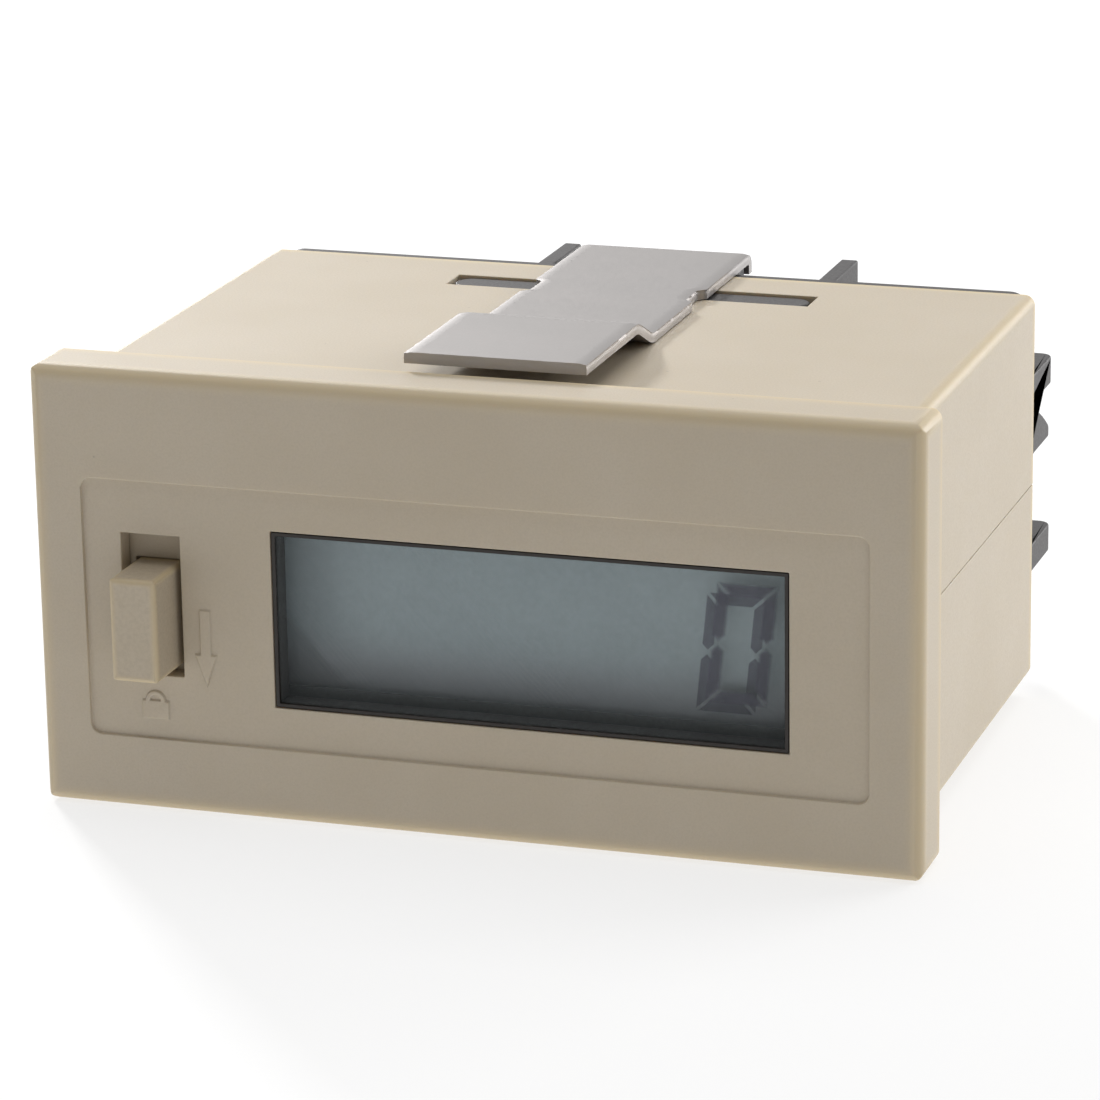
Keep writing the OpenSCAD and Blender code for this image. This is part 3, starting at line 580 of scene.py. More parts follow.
class COUNTER_OT_case_halves(bpy.types.Operator):
    """Makes the two halves of the case, with the split line between them"""

    bl_idname = "counter.case_halves"
    bl_label = "Case halves"

    def execute(self, context):
        low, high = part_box("lower_case")[0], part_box("upper_case")[1]
        # the case's plastic gets a painted glow, a warmer, paler colour along the edges of the whole case's box
        finish = moulded("case_plastic", tuple(finishes().case), glow=0.16, edges=((low.x, 0.0, low.z), high, 0.8))
        for node in ("upper_case", "lower_case"):
            new_piece(node + "_half", softened(node, node + "_half", sizes().case_edge), "root", node,
                      materials=[finish], slot="case_plastic")
        return {"FINISHED"}


class COUNTER_OT_terminal_block(bpy.types.Operator):
    """Makes the dark grey rear block with its barrier ribs"""

    bl_idname = "counter.terminal_block"
    bl_label = "Terminal block"

    def execute(self, context):
        finish = moulded("terminal_plastic", tuple(finishes().block), roughness=0.5, grain=6.0, depth=0.012,
                         speck=0.5, dust=False)
        mesh = softened("terminal_block", "rear_block", sizes().block_edge, sharp=50.0)
        new_piece("rear_block", mesh, "root", "terminal_block", materials=[finish], slot="terminal_plastic")
        return {"FINISHED"}


# ---------------------------------------------------------------- reset key


class COUNTER_OT_reset_key(bpy.types.Operator):
    """Makes the reset key and the carrier that it slides on"""

    bl_idname = "counter.reset_key"
    bl_label = "Reset key"

    def execute(self, context):
        colour = tuple(finishes().key)
        low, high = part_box("reset_key")
        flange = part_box("key_carrier")[0].y
        side = (high.x - low.x) / 2 - 0.4 * MM
        middle = (low + high) / 2
        # the box along whose edges the key's plastic gets a painted glow, a warmer, paler colour
        rim = ((middle.x - side, low.y, low.z + 0.5 * MM), (middle.x + side, flange, high.z - 0.5 * MM), 0.45)
        new_piece("key_cap", softened("reset_key", "key_cap", sizes().key_edge), "key", "reset_key",
                  materials=[moulded("key_plastic", colour, roughness=0.42, grain=5.0, depth=0.006, speck=0.6,
                                     dust=False, glow=0.12, edges=rim)],
                  slot="key_plastic")
        new_piece("slide_plate", softened("key_carrier", "slide_plate", sizes().key_edge), "carrier", "key_carrier",
                  materials=[moulded("carrier_plastic", shade(colour, 0.94), dust=False)], slot="case_plastic")
        return {"FINISHED"}


# ---------------------------------------------------------------- display


class COUNTER_OT_display(bpy.types.Operator):
    """Makes the window lens, its black mask, the display's layers and the dark segments"""

    bl_idname = "counter.display"
    bl_label = "Display"

    def execute(self, context):
        # lens_edge is a nearly white, hazy finish on the lens's narrow bevel: a painted highlight along the lens's
        # edges
        lens = [clear("clear_plastic", (0.80, 0.88, 0.90), 0.004, gloss=0.45, dust=True),
                clear("lens_edge", (0.95, 0.95, 0.92), 0.8, 0.25),
                clear("lens_wall", (0.10, 0.08, 0.07), 0.01, 0.4, gloss=0.0)]
        block = softened("window_lens", "lens_block", sizes().lens_edge, 2, edge_material=1)
        paint_faces(block, 2, lambda p: abs(p.normal.y) < 0.01)
        new_piece("lens_block", block, "root", "window_lens", materials=lens, slot="clear_plastic")
        mask = moulded("mask_plastic", tuple(finishes().mask), roughness=0.45, grain=5.0, depth=0.008, speck=0.5,
                       dust=False)
        new_piece("window_mask", softened("display_mask", "window_mask", sizes().mask_edge, 2), "root",
                  "display_mask", materials=[mask], slot="mask_plastic")
        glass = clear("display_glass", (0.75, 0.84, 0.86), 0.004, 0.03, gloss=0.4)
        rim = clear("glass_rim", (0.70, 0.80, 0.80), 0.25, 0.2, gloss=0.4)
        for node, name in (("front_glass", "front_pane"), ("rear_glass", "rear_pane")):
            new_piece(name, softened(node, name, sizes().pane_edge, 1, edge_material=1), "root", node,
                      materials=[glass, rim], slot="display_glass")
        finish_nodes(("front_polariser",), clear("polariser_film", (0.30, 0.34, 0.34), 0.03, 0.2, gloss=0.0))
        finish_nodes(("glass_seal",), plain_patterned("glass_sealant", (0.13, 0.14, 0.14), 0.6, grain=6.0))
        finish_nodes(("rear_polariser",), mirror_film(tuple(finishes().film)))
        new_piece("digit_nought", digit_mesh("digit_nought", blur_mm=0.26), "root", "digit_segments",
                  materials=[segment_ink("segment_ink", tuple(finishes().segment), 0.72)], slot="segment_ink")
        # a painted shadow of the segments: a sharper, fainter copy laid on the film behind them
        film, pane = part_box("rear_polariser")[0].y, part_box("digit_segments")[0].y
        painted_shadow_offset = -1.0 * (film - pane)
        new_piece("digit_painted_shadow", digit_mesh("digit_painted_shadow", painted_shadow_offset, film - 0.05 * MM - pane, painted_shadow_offset, 0.05), "root",
                  materials=[segment_ink("segment_painted_shadow", shade(tuple(finishes().segment), 1.6), 0.34)],
                  slot="segment_ink")
        return {"FINISHED"}


def digit_mesh(name, dx=0.0, dy=0.0, dz=0.0, blur_mm=0.09):
    """The nought's six segments as thin plates, moved by dx, dy and dz, with a share that fades at their edges."""
    low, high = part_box("digit_segments")
    lean = math.tan(sizes().segment_lean)
    half_h, thick = (high.z - low.z) / 2, (high.y - low.y) * 0.8
    half_w = (high.x - low.x) / 2 - half_h * lean
    middle = (low + high) / 2
    s, gap = sizes().segment_width, sizes().segment_gap
    outlines = []
    for z in (-1, 1):
        outlines.append([(-half_w + gap, z * half_h), (half_w - gap, z * half_h),
                         (half_w - gap - s, z * (half_h - s)), (-half_w + gap + s, z * (half_h - s))])
        for x in (-1, 1):
            outlines.append([(x * half_w, z * (half_h - gap)), (x * (half_w - s), z * (half_h - gap - s)),
                             (x * (half_w - s), z * (gap + s / 2)), (x * (half_w - s / 2), z * gap),
                             (x * half_w, z * (gap + s / 2))])
    verts, faces, shares = [], [], []
    for outline in outlines:
        points = [Vector(p) for p in outline]
        if sum(a.cross(b) for a, b in zip(points, points[1:] + points[:1])) < 0:
            points.reverse()
        loops = [(inset(points, -blur_mm * MM * 0.45), 0.0), (inset(points, blur_mm * MM * 0.5), 0.75),
                 (inset(points, blur_mm * MM), 1.0)]
        n, first = len(points), len(verts)
        for y in (0.0, thick):
            for loop, share in loops:
                for p in loop:
                    verts.append((middle.x + p.x + p.y * lean + dx, low.y + y + dy, middle.z + p.y + dz))
                    shares.append(share)
        back = first + 3 * n
        for start, turn in ((first, False), (back, True)):
            for ring in (0, 1):
                for k in range(n):
                    a, b = start + ring * n + k, start + ring * n + (k + 1) % n
                    faces.append((a, b, b + n, a + n)[::-1 if turn else 1])
            faces.append(tuple(range(start + 2 * n, start + 3 * n))[::-1 if turn else 1])
        for k in range(n):
            a, b = first + k, first + (k + 1) % n
            faces.append((b, a, a + 3 * n, b + 3 * n))
    mesh = bpy.data.meshes.new(name)
    mesh.from_pydata(verts, [], faces)
    mesh.attributes.new("ink", "FLOAT", "POINT").data.foreach_set("value", shares)
    return mesh


def inset(points, amount):
    """A convex outline, counterclockwise, with each side moved inwards by amount."""
    out = []
    for a, b, c in zip(points[-1:] + points[:-1], points, points[1:] + points[:1]):
        u, v = (b - a).normalized(), (c - b).normalized()
        n, m = Vector((-u.y, u.x)), Vector((-v.y, v.x))
        out.append(b + (n + m) * (amount / (1 + n.dot(m))))
    return out


def segment_ink(name, colour, strength):
    """Darkened liquid crystal: see-through where its ink attribute fades."""
    r = Recipe(name, Roughness=0.55)
    ink = r.tree.nodes.new("ShaderNodeAttribute")
    ink.attribute_name = "ink"
    cloud = r.noise(1.6, 2.0)
    r.colour(r.mix(r.span(cloud, 0.3, 0.7), shade(colour, (0.9, 0.85, 0.9)), shade(colour, 1.1)))
    r.set("Alpha", r.maths("MULTIPLY", r.span(ink.outputs["Fac"], 0.0, 1.0),
                           r.span(cloud, 0.2, 0.8, strength * 0.92, strength)))
    return r.material


def finish_nodes(nodes, material):
    """Gives carried-over CAD nodes a material."""
    for node in nodes:
        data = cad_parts[node].data
        data.materials.clear()
        data.materials.append(material)


# ---------------------------------------------------------------- mounting clip


def filleted(path, radii, steps=9):
    """An open path in (y, z) with each corner replaced by an arc of its radius, shortened where a leg is short."""
    out = [path[0]]
    for a, b, c, radius in zip(path, path[1:], path[2:], radii):
        u, v = (a - b).normalized(), (c - b).normalized()
        half = u.angle(v) / 2
        cut = min(radius / math.tan(half), (a - b).length * 0.48, (c - b).length * 0.48)
        r = cut * math.tan(half)
        centre = b + (u + v).normalized() * (r / math.sin(half))
        start, end = b + u * cut - centre, b + v * cut - centre
        sweep = start.angle_signed(end)
        for k in range(steps + 1):
            t = -sweep * k / steps
            out.append(centre + Vector((start.x * math.cos(t) - start.y * math.sin(t),
                                        start.x * math.sin(t) + start.y * math.cos(t))))
    out.append(path[-1])
    return out


def stationed(path, step):
    """Points along a path with no leg longer than step."""
    out = [path[0]]
    for a, b in zip(path, path[1:]):
        count = max(1, math.ceil((b - a).length / step))
        out += [a.lerp(b, k / count) for k in range(1, count + 1)]
    return out


class COUNTER_OT_mounting_clip(bpy.types.Operator):
    """Makes the sheared and bent steel clip on top of the case"""

    bl_idname = "counter.mounting_clip"
    bl_label = "Mounting clip"

    def execute(self, context):
        low, high = (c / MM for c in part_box("mounting_clip"))
        case_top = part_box("upper_case")[1].z / MM
        s = sizes()
        t, roll, rough = s.clip_thick / MM, s.clip_roll / MM, s.clip_rough / MM
        z_low = case_top + s.clip_gap / MM + t / 2
        z_high = high.z - t / 2
        step_y = low.y + s.clip_front / MM
        path = [Vector(p) for p in ((low.y, z_high), (step_y, z_high), (step_y + s.clip_run / MM, z_low),
                                    (high.y - t / 2, z_low), (high.y - t / 2, low.z))]
        bends = (s.clip_step / MM, s.clip_step / MM, s.clip_bend / MM)
        line = stationed(filleted(path, bends), 0.22)
        middle, half = (low.x + high.x) / 2, (high.x - low.x) / 2
        notch_from, notch_to = s.notch_start / MM - 0.15, s.notch_end / MM + 0.15
        across, side = 26, 6
        rings = []
        for i, p in enumerate(line):
            before, after = line[max(i - 1, 0)], line[min(i + 1, len(line) - 1)]
            along = (after - before).normalized()
            up = Vector((-along.y, along.x))
            bite = 0.0
            if notch_from < p.x < notch_to and p.y < z_low + 0.1:
                edge = min(p.x - notch_from, notch_to - p.x) / 0.22
                bite = s.notch_depth / MM * min(1.0, max(0.0, edge))
            ring = []
            outline = [(-1 + 2 * k / across, 1) for k in range(across + 1)]
            outline += [(1, 1 - 2 * k / side) for k in range(1, side)]
            outline += [(1 - 2 * k / across, -1) for k in range(across + 1)]
            outline += [(-1, -1 + 2 * k / side) for k in range(1, side)]
            for u, v in outline:
                x = u * (half - bite)
                h = v * t / 2
                # the upper edges roll over, the lower ones stay sharp
                over = max(0.0, abs(x) - (half - bite - roll)) / roll
                if v == 1:
                    h -= roll * 0.55 * (1 - math.sqrt(max(0.0, 1 - over * over))) * 0.9
                elif abs(u) == 1:
                    x -= math.copysign(roll * 0.35 * max(0.0, v) ** 2, x)
                if abs(u) == 1:
                    seed = Vector((p.x * 1.9, v * 1.3, u * 4.0))
                    x -= math.copysign(rough * (0.5 + 0.5 * noise.noise(seed * 1.7)) * (0.4 + 0.6 * abs(v)), x)
                q = p + up * h
                if i == 0:
                    n = noise.noise(Vector((x * 1.3, v * 0.9, 3.0)))
                    n += 0.6 * noise.noise(Vector((x * 4.1, v * 2.0, 8.0)))
                    q = Vector((q.x + rough * 1.6 * (0.5 + 0.5 * max(-1.0, min(1.0, n))), q.y))
                ring.append(((middle + x) * MM, q.x * MM, q.y * MM))
            rings.append(ring)
        mesh = clip_mesh(rings, across, side)
        colour = tuple(finishes().steel)
        new_piece("clip_strip", mesh, "clip", "mounting_clip",
                  materials=[rolled_steel("clip_steel", colour), sheared_steel(colour)], slot="clip_steel")
        return {"FINISHED"}


def clip_mesh(rings, across, side):
    """Joins the clip's rings and fills both ends with grids, so that the cut faces can be rough."""
    count = len(rings[0])
    verts = [p for ring in rings for p in ring]
    faces, materials = [], []
    side_places = set(range(across, across + side)) | set(range(2 * across + side, count))
    for i in range(len(rings) - 1):
        for k in range(count):
            a, b = i * count + k, i * count + (k + 1) % count
            faces.append((a, b, b + count, a + count))
            materials.append(1 if k in side_places else 0)
    for first, turn in ((0, True), ((len(rings) - 1) * count, False)):
        rows = [[first + k for k in range(across + 1)]]
        for j in range(1, side):
            left, right = first + (count - j), first + across + j
            row = [left]
            for k in range(1, across):
                top, low = np.array(verts[first + k]), np.array(verts[first + 2 * across + side - k])
                p = top + (low - top) * (j / side)
                push = 0.03 * MM * noise.noise(Vector((p[0] / MM * 2.6, j * 0.8, 5.0)))
                p[1] += (abs(push) if turn else -abs(push)) * (1 if abs(p[1] - verts[first][1]) < 1e-3 else 0)
                verts.append(tuple(p))
                row.append(len(verts) - 1)
            rows.append(row + [right])
        rows.append([first + 2 * across + side - k for k in range(across + 1)])
        for upper, lower in zip(rows, rows[1:]):
            for k in range(across):
                face = (upper[k], upper[k + 1], lower[k + 1], lower[k])
                faces.append(face if turn else face[::-1])
                materials.append(1)
    mesh = bpy.data.meshes.new("clip_strip")
    mesh.from_pydata(verts, [], faces)
    mesh.polygons.foreach_set("material_index", materials)
    outward(mesh)
    return smooth(mesh, 48.0)


# ---------------------------------------------------------------- terminals


class Graph:
    """Short calls for building one Geometry Nodes tree."""

    def __init__(self, name, inputs):
        self.tree = bpy.data.node_groups.new(name, "GeometryNodeTree")
        face = self.tree.interface
        self.named = {}
        for label, kind, default in inputs:
            socket = face.new_socket(name=label, in_out="INPUT", socket_type=kind)
            if default is not None:
                socket.default_value = default
            self.named[label] = socket.identifier
        face.new_socket(name="Geometry", in_out="OUTPUT", socket_type="NodeSocketGeometry")
        self.source = self.tree.nodes.new("NodeGroupInput")
        self.sink = self.tree.nodes.new("NodeGroupOutput")

    def read(self, label):
        return self.source.outputs[label]

    def node(self, kind, settings=None, **inputs):
        made = self.tree.nodes.new(kind)
        for key, value in (settings or {}).items():
            setattr(made, key, value)
        for label, value in inputs.items():
            self.put(value, made.inputs[label.replace("_", " ")])
        return made

    def put(self, value, socket):
        if isinstance(value, (list, tuple)) and value and isinstance(value[0], bpy.types.NodeSocket):
            for v in value:
                self.tree.links.new(v, socket)
        elif isinstance(value, bpy.types.NodeSocket):
            self.tree.links.new(value, socket)
        else:
            socket.default_value = value

    def maths(self, kind, *values):
        made = self.node("ShaderNodeMath", {"operation": kind})
        for value, socket in zip(values, made.inputs):
            self.put(value, socket)
        return made.outputs[0]

    def vector(self, x=0.0, y=0.0, z=0.0):
        return self.node("ShaderNodeCombineXYZ", X=x, Y=y, Z=z).outputs[0]

    def moved(self, geometry, **inputs):
        return self.node("GeometryNodeTransform", Geometry=geometry, **inputs).outputs[0]

    def finish(self, geometry):
        real = self.node("GeometryNodeRealizeInstances", Geometry=geometry).outputs[0]
        painted = self.node("GeometryNodeSetMaterial", Geometry=real, Material=self.read("Material")).outputs[0]
        self.tree.links.new(painted, self.sink.inputs["Geometry"])

    def grow(self, name, values):
        """Runs the tree with these inputs and returns the mesh that it makes."""
        holder = bpy.data.objects.new(name + "_work", bpy.data.meshes.new(name + "_start"))
        bpy.context.scene.collection.objects.link(holder)
        modifier = holder.modifiers.new("Grow", "NODES")
        modifier.node_group = self.tree
        for label, value in values.items():
            modifier[self.named[label]] = value
        depsgraph = bpy.context.evaluated_depsgraph_get()
        made = bpy.data.meshes.new_from_object(holder.evaluated_get(depsgraph), depsgraph=depsgraph)
        made.name = name
        if not made.polygons:
            raise RuntimeError(f"the tree {self.tree.name} made nothing for {name}")
        start = holder.data
        bpy.data.objects.remove(holder)
        bpy.data.meshes.remove(start)
        return made


LENGTH = "NodeSocketFloat"


def screw_tree():
    """Pan-head screw along +Y: domed head with a cross slot, and a shank with a rolled thread."""
    g = Graph("terminal_screw_tree", [
        ("Place", "NodeSocketVector", (0, 0, 0)),
        ("Head Diameter", LENGTH, 0.0052), ("Head Height", LENGTH, 0.002),
        ("Edge Height", LENGTH, 0.0012), ("Shank Diameter", LENGTH, 0.0025), ("Shank Length", LENGTH, 0.0036),
        ("Slot Width", LENGTH, 0.0007), ("Slot Length", LENGTH, 0.003), ("Slot Depth", LENGTH, 0.0011),
        ("Thread Pitch", LENGTH, 0.00045), ("Thread Depth", LENGTH, 0.00018),
        ("Material", "NodeSocketMaterial", None)])
    radius = g.maths("DIVIDE", g.read("Head Diameter"), 2.0)
    head = g.node("GeometryNodeMeshCylinder", {"fill_type": "NGON"}, Vertices=72, Side_Segments=6,
                  Radius=radius, Depth=g.read("Head Height"))
    top = g.moved(head.outputs["Mesh"], Translation=g.vector(z=g.maths("DIVIDE", g.read("Head Height"), 2.0)))
    # points above the edge height move in and over, to make the dome
    place = g.node("GeometryNodeInputPosition").outputs[0]
    parts = g.node("ShaderNodeSeparateXYZ", Vector=place)
    rise = g.maths("SUBTRACT", g.read("Head Height"), g.read("Edge Height"))
    above = g.maths("MAXIMUM", g.maths("SUBTRACT", parts.outputs["Z"], g.read("Edge Height")), 0.0)
    share = g.maths("DIVIDE", above, rise)
    pull = g.maths("SUBTRACT", 1.0, g.maths("MULTIPLY", g.maths("POWER", share, 2.2), 0.42))
    shaped = g.node("GeometryNodeSetPosition", Geometry=top, Position=g.vector(
        g.maths("MULTIPLY", parts.outputs["X"], pull), g.maths("MULTIPLY", parts.outputs["Y"], pull),
        parts.outputs["Z"]))
    cuts = []
    slot_height = g.maths("MULTIPLY", g.read("Slot Depth"), 2.0)
    for x, y in (("Slot Length", "Slot Width"), ("Slot Width", "Slot Length")):
        cut = g.node("GeometryNodeMeshCube", Size=g.vector(g.read(x), g.read(y), slot_height))
        cuts.append(g.moved(cut.outputs["Mesh"], Translation=g.vector(z=g.read("Head Height"))))
    slotted = g.node("GeometryNodeMeshBoolean", {"operation": "DIFFERENCE", "solver": "EXACT"},
                     Mesh_1=shaped.outputs[0], Mesh_2=cuts)
    # the shank's radius dips along a helix
    rings = g.maths("MULTIPLY", g.maths("DIVIDE", g.read("Shank Length"), g.read("Thread Pitch")), 8.0)
    shank = g.node("GeometryNodeMeshCylinder", {"fill_type": "NGON"}, Vertices=40, Side_Segments=rings,
                   Radius=g.maths("DIVIDE", g.read("Shank Diameter"), 2.0), Depth=g.read("Shank Length"))
    split = g.node("ShaderNodeSeparateXYZ", Vector=place)
    angle = g.maths("DIVIDE", g.maths("ARCTAN2", split.outputs["Y"], split.outputs["X"]), 2 * math.pi)
    turn = g.maths("FRACT", g.maths("ADD", g.maths("DIVIDE", split.outputs["Z"], g.read("Thread Pitch")),
                                    g.maths("ADD", angle, 10.0)))
    dip = g.maths("ABSOLUTE", g.maths("SUBTRACT", g.maths("MULTIPLY", turn, 2.0), 1.0))
    shank_radius = g.maths("DIVIDE", g.read("Shank Diameter"), 2.0)
    cut = g.maths("MULTIPLY", g.maths("DIVIDE", g.read("Thread Depth"), shank_radius), dip)
    keep = g.maths("SUBTRACT", 1.0, cut)
    threaded = g.node("GeometryNodeSetPosition", Geometry=shank.outputs["Mesh"], Position=g.vector(
        g.maths("MULTIPLY", split.outputs["X"], keep), g.maths("MULTIPLY", split.outputs["Y"], keep),
        split.outputs["Z"]))
    lowered = g.moved(threaded.outputs[0], Translation=g.vector(
        z=g.maths("MULTIPLY", g.maths("SUBTRACT", g.read("Shank Length"), 0.0001), -0.5)))
    whole = g.node("GeometryNodeMeshBoolean", {"operation": "UNION", "solver": "EXACT"},
                   Mesh_2=[slotted.outputs[0], lowered])
    turned = g.moved(whole.outputs[0], Rotation=(-math.pi / 2, 0, 0))
    g.finish(g.moved(turned, Translation=g.read("Place")))
    return g


def washer_tree():
    """Square clamp washer with a hole, round corners and raised gripping lines on its front."""
    g = Graph("clamp_washer_tree", [
        ("Place", "NodeSocketVector", (0, 0, 0)), ("Width", LENGTH, 0.006), ("Thickness", LENGTH, 0.0008),
        ("Hole", LENGTH, 0.0026), ("Corner", LENGTH, 0.0005), ("Lines", "NodeSocketInt", 5),
        ("Material", "NodeSocketMaterial", None)])
    inner = g.maths("SUBTRACT", g.read("Width"), g.maths("MULTIPLY", g.read("Corner"), 2.0))
    outline = g.node("GeometryNodeCurvePrimitiveQuadrilateral", Width=g.read("Width"), Height=g.read("Width"))
    rounded = g.node("GeometryNodeFilletCurve", {"mode": "POLY"}, Curve=outline.outputs[0], Count=6,
                     Radius=g.read("Corner"))
    flat = g.node("GeometryNodeFillCurve", {"mode": "NGONS"}, Curve=rounded.outputs[0])
    solid = g.node("GeometryNodeExtrudeMesh", {"mode": "FACES"}, Mesh=flat.outputs[0], Offset=g.vector(z=1.0),
                   Offset_Scale=g.read("Thickness"), Individual=False)
    base = g.node("GeometryNodeFlipFaces", Mesh=flat.outputs[0])
    closed = g.node("GeometryNodeMergeByDistance", Geometry=g.node(
        "GeometryNodeJoinGeometry", Geometry=[base.outputs[0], solid.outputs["Mesh"]]).outputs[0], Distance=1e-7)
    hole = g.node("GeometryNodeMeshCylinder", Vertices=48, Radius=g.maths("DIVIDE", g.read("Hole"), 2.0),
                  Depth=g.maths("MULTIPLY", g.read("Thickness"), 4.0))
    # shallow grooves across the gripping side, one for each line
    groove = g.node("GeometryNodeMeshCylinder", Vertices=4, Radius=0.09 * MM,
                    Depth=g.maths("MULTIPLY", g.read("Width"), 1.2))
    laid = g.moved(groove.outputs["Mesh"], Rotation=(0, math.pi / 2, 0))
    step = g.maths("DIVIDE", inner, g.maths("SUBTRACT", g.read("Lines"), 1.0))
    rows = g.node("GeometryNodeMeshLine", Count=g.read("Lines"), Offset=g.vector(y=step),
                  Start_Location=g.vector(y=g.maths("DIVIDE", inner, -2.0)))
    grooves = g.node("GeometryNodeInstanceOnPoints", Points=rows.outputs[0], Instance=laid)
    real = g.node("GeometryNodeRealizeInstances", Geometry=grooves.outputs[0]).outputs[0]
    cut = g.node("GeometryNodeMeshBoolean", {"operation": "DIFFERENCE", "solver": "EXACT"},
                 Mesh_1=closed.outputs[0], Mesh_2=[hole.outputs["Mesh"], real])
    turned = g.moved(cut.outputs[0], Rotation=(-math.pi / 2, 0, 0))
    g.finish(g.moved(turned, Translation=g.read("Place")))
    return g


class COUNTER_OT_terminals(bpy.types.Operator):
    """Makes the terminal screws, clamp washers and brass contact plates"""

    bl_idname = "counter.terminals"
    bl_label = "Terminals"

    def execute(self, context):
        plating = plated("screw_steel", tuple(finishes().zinc))
        brass = plated("terminal_brass", tuple(finishes().brass), 0.34)
        screws, washers = screw_tree(), washer_tree()
        for i in range(1, 5):
            low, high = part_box(f"terminal_screw_{i}")
            w_low, w_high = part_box(f"clamp_washer_{i}")
            middle = (low + high) / 2
            head = w_high.y + 0.05 * MM
            mesh = screws.grow(f"screw_{i}", {
                "Place": (middle.x, head, middle.z), "Head Diameter": high.x - low.x, "Head Height": high.y - head,
                "Edge Height": (high.y - head) * 0.6, "Shank Length": head - low.y, "Slot Width": sizes().screw_slot,
                "Thread Pitch": sizes().thread_pitch, "Material": plating})
            new_piece(f"screw_{i}", smooth(mesh, 35.0), f"screw_{i}", f"terminal_screw_{i}", slot="screw_steel")
            mesh = washers.grow(f"washer_{i}", {
                "Place": (middle.x, w_low.y, middle.z), "Width": w_high.x - w_low.x, "Thickness": w_high.y - w_low.y,
                "Material": plating})
            new_piece(f"washer_{i}", smooth(mesh, 35.0), f"washer_{i}", f"clamp_washer_{i}", slot="screw_steel")
            mesh = softened(f"contact_plate_{i}", f"plate_{i}", sizes().plate_edge, 2)
            new_piece(f"plate_{i}", mesh, "root", f"contact_plate_{i}", materials=[brass], slot="terminal_brass")
        return {"FINISHED"}


# ---------------------------------------------------------------- inside


class COUNTER_OT_inner_parts(bpy.types.Operator):
    """Gives the pieces inside the case their finishes"""

    bl_idname = "counter.inner_parts"
    bl_label = "Inner parts"

    def execute(self, context):
        finish_nodes(("upper_contact_strip", "lower_contact_strip"),
                     layered("strip_rubber", (0.02, 0.02, 0.022), (0.32, 0.30, 0.27), 0.18))
        finish_nodes(("display_holder",), moulded("holder_plastic", (0.78, 0.78, 0.75), dust=False))
        board = Recipe("board_laminate", Roughness=0.35)
        weave = board.maths("ADD", board.maths("SINE", board.maths("MULTIPLY", board.axis("X"), 16.0)),
                            board.maths("SINE", board.maths("MULTIPLY", board.axis("Z"), 16.0)))
        board.colour(board.mix(board.span(weave, -1.5, 1.5), (0.010, 0.085, 0.040), (0.018, 0.125, 0.060)))
        board.bump(weave, 0.004)
        finish_nodes(("circuit_board",), board.material)
        finish_nodes(("reset_pads",), plated("gold_plating", (0.85, 0.60, 0.24), 0.25))
        finish_nodes(("counter_chip", "input_isolator"),
                     plain_patterned("chip_resin", (0.018, 0.018, 0.019), 0.45, grain=7.0))
        finish_nodes(("crystal",), plated("can_metal", (0.66, 0.66, 0.65), 0.3))
        for node, name, body in (("chip_capacitors", "capacitor_ceramic", (0.34, 0.21, 0.10)),
                                 ("chip_resistors", "resistor_ceramic", (0.02, 0.02, 0.024))):
            finish_nodes((node,), capped(name, body, (0.72, 0.71, 0.69), 1.0, centres(node)))
        finish_nodes(("lithium_cell",),
                     plain_patterned("cell_sleeve", (0.03, 0.07, 0.20), 0.35, grain=1.5, depth=0.02))
        finish_nodes(("plus_tab", "minus_tab"), plated("nickel_strip", (0.62, 0.60, 0.57), 0.32))
        finish_nodes(("input_leads",),
                     plain_patterned("lead_sleeve", (0.52, 0.03, 0.02), 0.35, grain=3.0, depth=0.006))
        silicone = plain_patterned("pad_silicone", (0.30, 0.30, 0.29), 0.6, grain=5.0, depth=0.006)
        pad = new_piece("silicone_pad", softened("key_pad", "silicone_pad", sizes().pad_edge), "carrier",
                        "key_pad", materials=[silicone], slot="pad_silicone")
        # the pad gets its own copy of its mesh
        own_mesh(pad)
        finish_nodes(("contact_pill",),
                     plain_patterned("carbon_rubber", (0.02, 0.02, 0.02), 0.7, grain=8.0, depth=0.01))
        return {"FINISHED"}


def centres(node):
    """Middles, in millimetres along X, of the separate chips in a node."""
    xs = sorted({round(v.co.x / MM, 2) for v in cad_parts[node].data.vertices})
    return [(a + b) / 2 for a, b in zip(xs[0::2], xs[1::2])]


# ---------------------------------------------------------------- stage


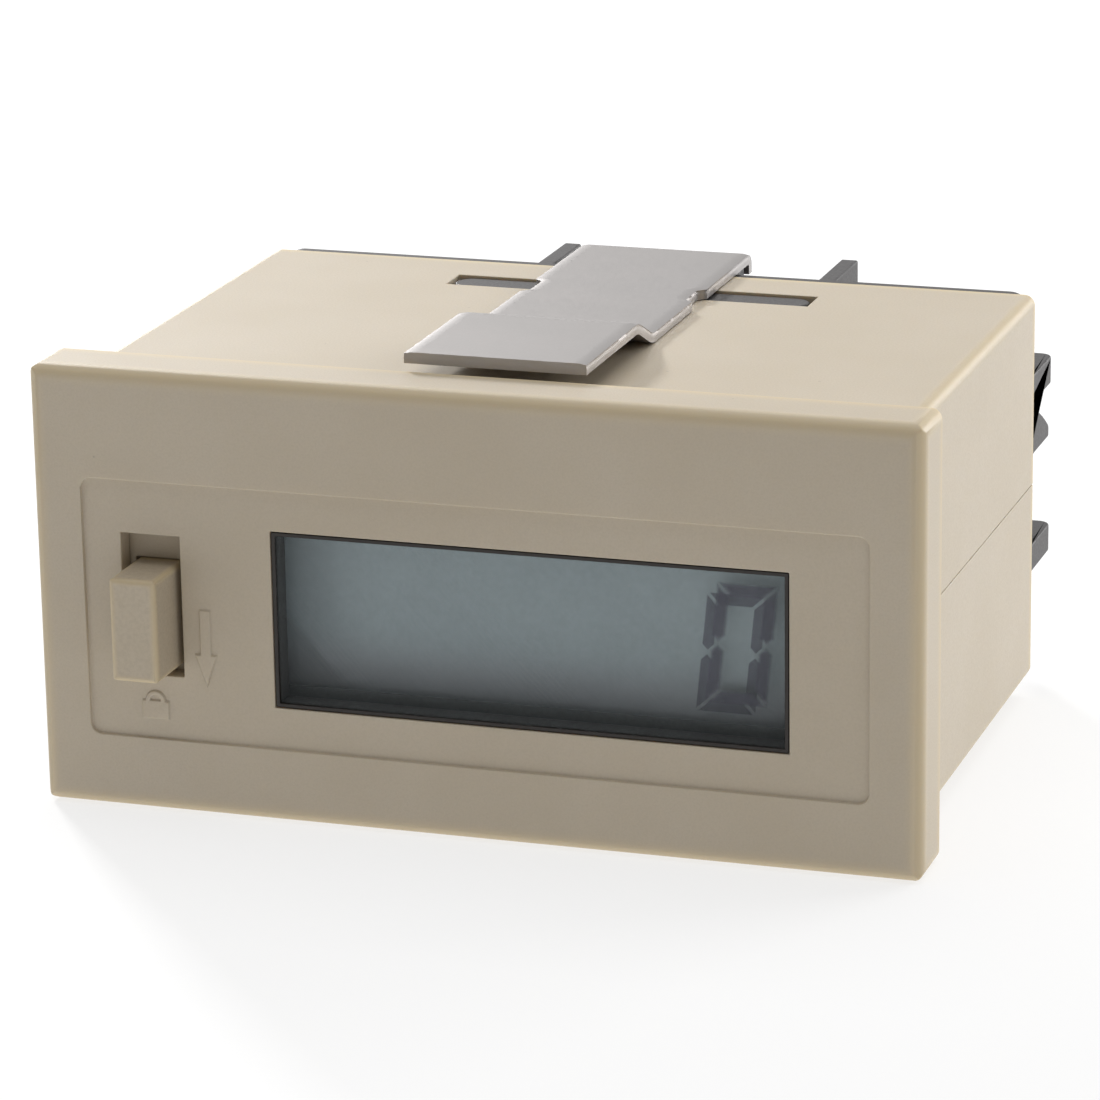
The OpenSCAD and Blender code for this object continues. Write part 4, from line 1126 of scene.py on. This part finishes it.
class COUNTER_OT_stage(bpy.types.Operator):
    """Makes the floor, the lights and the camera"""

    bl_idname = "counter.stage"
    bl_label = "Stage"

    def execute(self, context):
        s = setting()
        scene = context.scene
        scene.view_settings.view_transform = "Standard"
        # the display is seen and lit through a stack of clear layers
        scene.cycles.transparent_max_bounces = 32
        world = bpy.data.worlds.new("surroundings")
        world.use_nodes = True
        world.node_tree.nodes["Background"].inputs["Color"].default_value = (1.0, 1.0, 1.0, 1.0)
        world.node_tree.nodes["Background"].inputs["Strength"].default_value = s.sky
        scene.world = world

        low = CAD_BOX[0]
        half = s.floor_size / 2
        mesh = bpy.data.meshes.new("floor")
        z = low.z - 0.02 * MM
        mesh.from_pydata([(-half, -half, z), (half, -half, z), (half, half, z), (-half, half, z)], [], [(0, 1, 2, 3)])
        floor = bpy.data.objects.new("floor", mesh)
        scene.collection.objects.link(floor)
        r = Recipe("floor_paint", Roughness=0.9, Emission_Color=(1.0, 1.0, 1.0, 1.0), Emission_Strength=s.floor_light)
        clouds = r.noise(0.02, 2.0)
        r.colour(r.mix(clouds, (0.28, 0.28, 0.28), (0.30, 0.30, 0.30)))
        mesh.materials.append(r.material)

        def softbox(name, place, aim, width, height, brightness):
            data = bpy.data.lights.new(name, "AREA")
            data.shape, data.size, data.size_y = "RECTANGLE", width, height
            data.energy = brightness * width * height * math.pi
            light = bpy.data.objects.new(name, data)
            scene.collection.objects.link(light)
            light.location = place
            light.rotation_mode = "QUATERNION"
            light.rotation_quaternion = (Vector(aim) - Vector(place)).to_track_quat("-Z", "Y")

        aim = (0.0, 0.012, 0.0)
        softbox("back_light", (-0.1, 0.75, 0.33), aim, 1.5, 0.66, s.back_light)
        softbox("side_light", (0.62, 0.70, 0.20), aim, 0.6, 0.4, s.side_light)
        softbox("corner_light", (-0.51, 0.63, 0.39), aim, 0.12, 0.12, s.corner_light)
        softbox("top_light", (0.0, 0.10, 0.75), aim, 0.8, 0.8, s.top_light)

        back = Vector((math.sin(s.azimuth) * math.cos(s.elevation), -math.cos(s.azimuth) * math.cos(s.elevation),
                       math.sin(s.elevation)))
        right = (-back).cross(Vector((0, 0, 1))).normalized()
        up = right.cross(-back)
        c, n = math.cos(s.roll), math.sin(s.roll)
        right, up = c * right + n * up, -n * right + c * up
        data = bpy.data.cameras.new("camera")
        data.lens, data.sensor_width, data.sensor_fit = s.focal, 36.0, "HORIZONTAL"
        data.clip_start, data.clip_end = 0.01, 20.0
        camera = bpy.data.objects.new("camera", data)
        scene.collection.objects.link(camera)
        place = Matrix((right, up, back)).transposed().to_4x4()
        place.translation = Vector(s.target) + back * s.distance
        camera.matrix_world = place
        scene.camera = camera
        return {"FINISHED"}


class COUNTER_PT_panel(bpy.types.Panel):
    """Lists the counter's pieces and sizes"""

    bl_idname = "COUNTER_PT_panel"
    bl_label = "Pulse Counter"
    bl_space_type = "VIEW_3D"
    bl_region_type = "UI"
    bl_category = "Counter"

    def draw(self, context):
        column = self.layout.column(align=True)
        for step in STEPS:
            column.operator(step.bl_idname)
        for title, group in (("Sizes", sizes()), ("Finishes", finishes()), ("Stage", setting())):
            box = self.layout.box()
            box.label(text=title)
            for name in group.__annotations__:
                box.prop(group, name)


STEPS = (COUNTER_OT_stage, COUNTER_OT_front_frame, COUNTER_OT_case_halves, COUNTER_OT_terminal_block,
         COUNTER_OT_reset_key, COUNTER_OT_display, COUNTER_OT_mounting_clip, COUNTER_OT_terminals,
         COUNTER_OT_inner_parts)
GROUPS = {"counter_sizes": CounterSizes, "counter_finishes": CounterFinishes, "counter_stage": CounterStage}


def register():
    for name, group in GROUPS.items():
        bpy.utils.register_class(group)
        setattr(bpy.types.Scene, name, PointerProperty(type=group))
    for step in STEPS:
        bpy.utils.register_class(step)
    bpy.utils.register_class(COUNTER_PT_panel)


def unregister():
    bpy.utils.unregister_class(COUNTER_PT_panel)
    for step in reversed(STEPS):
        bpy.utils.unregister_class(step)
    for name, group in GROUPS.items():
        delattr(bpy.types.Scene, name)
        bpy.utils.unregister_class(group)


def main():
    register()
    for step in STEPS:
        group, name = step.bl_idname.split(".")
        getattr(getattr(bpy.ops, group), name)()
    bpy.context.view_layer.update()


if __name__ == "__main__":
    main()
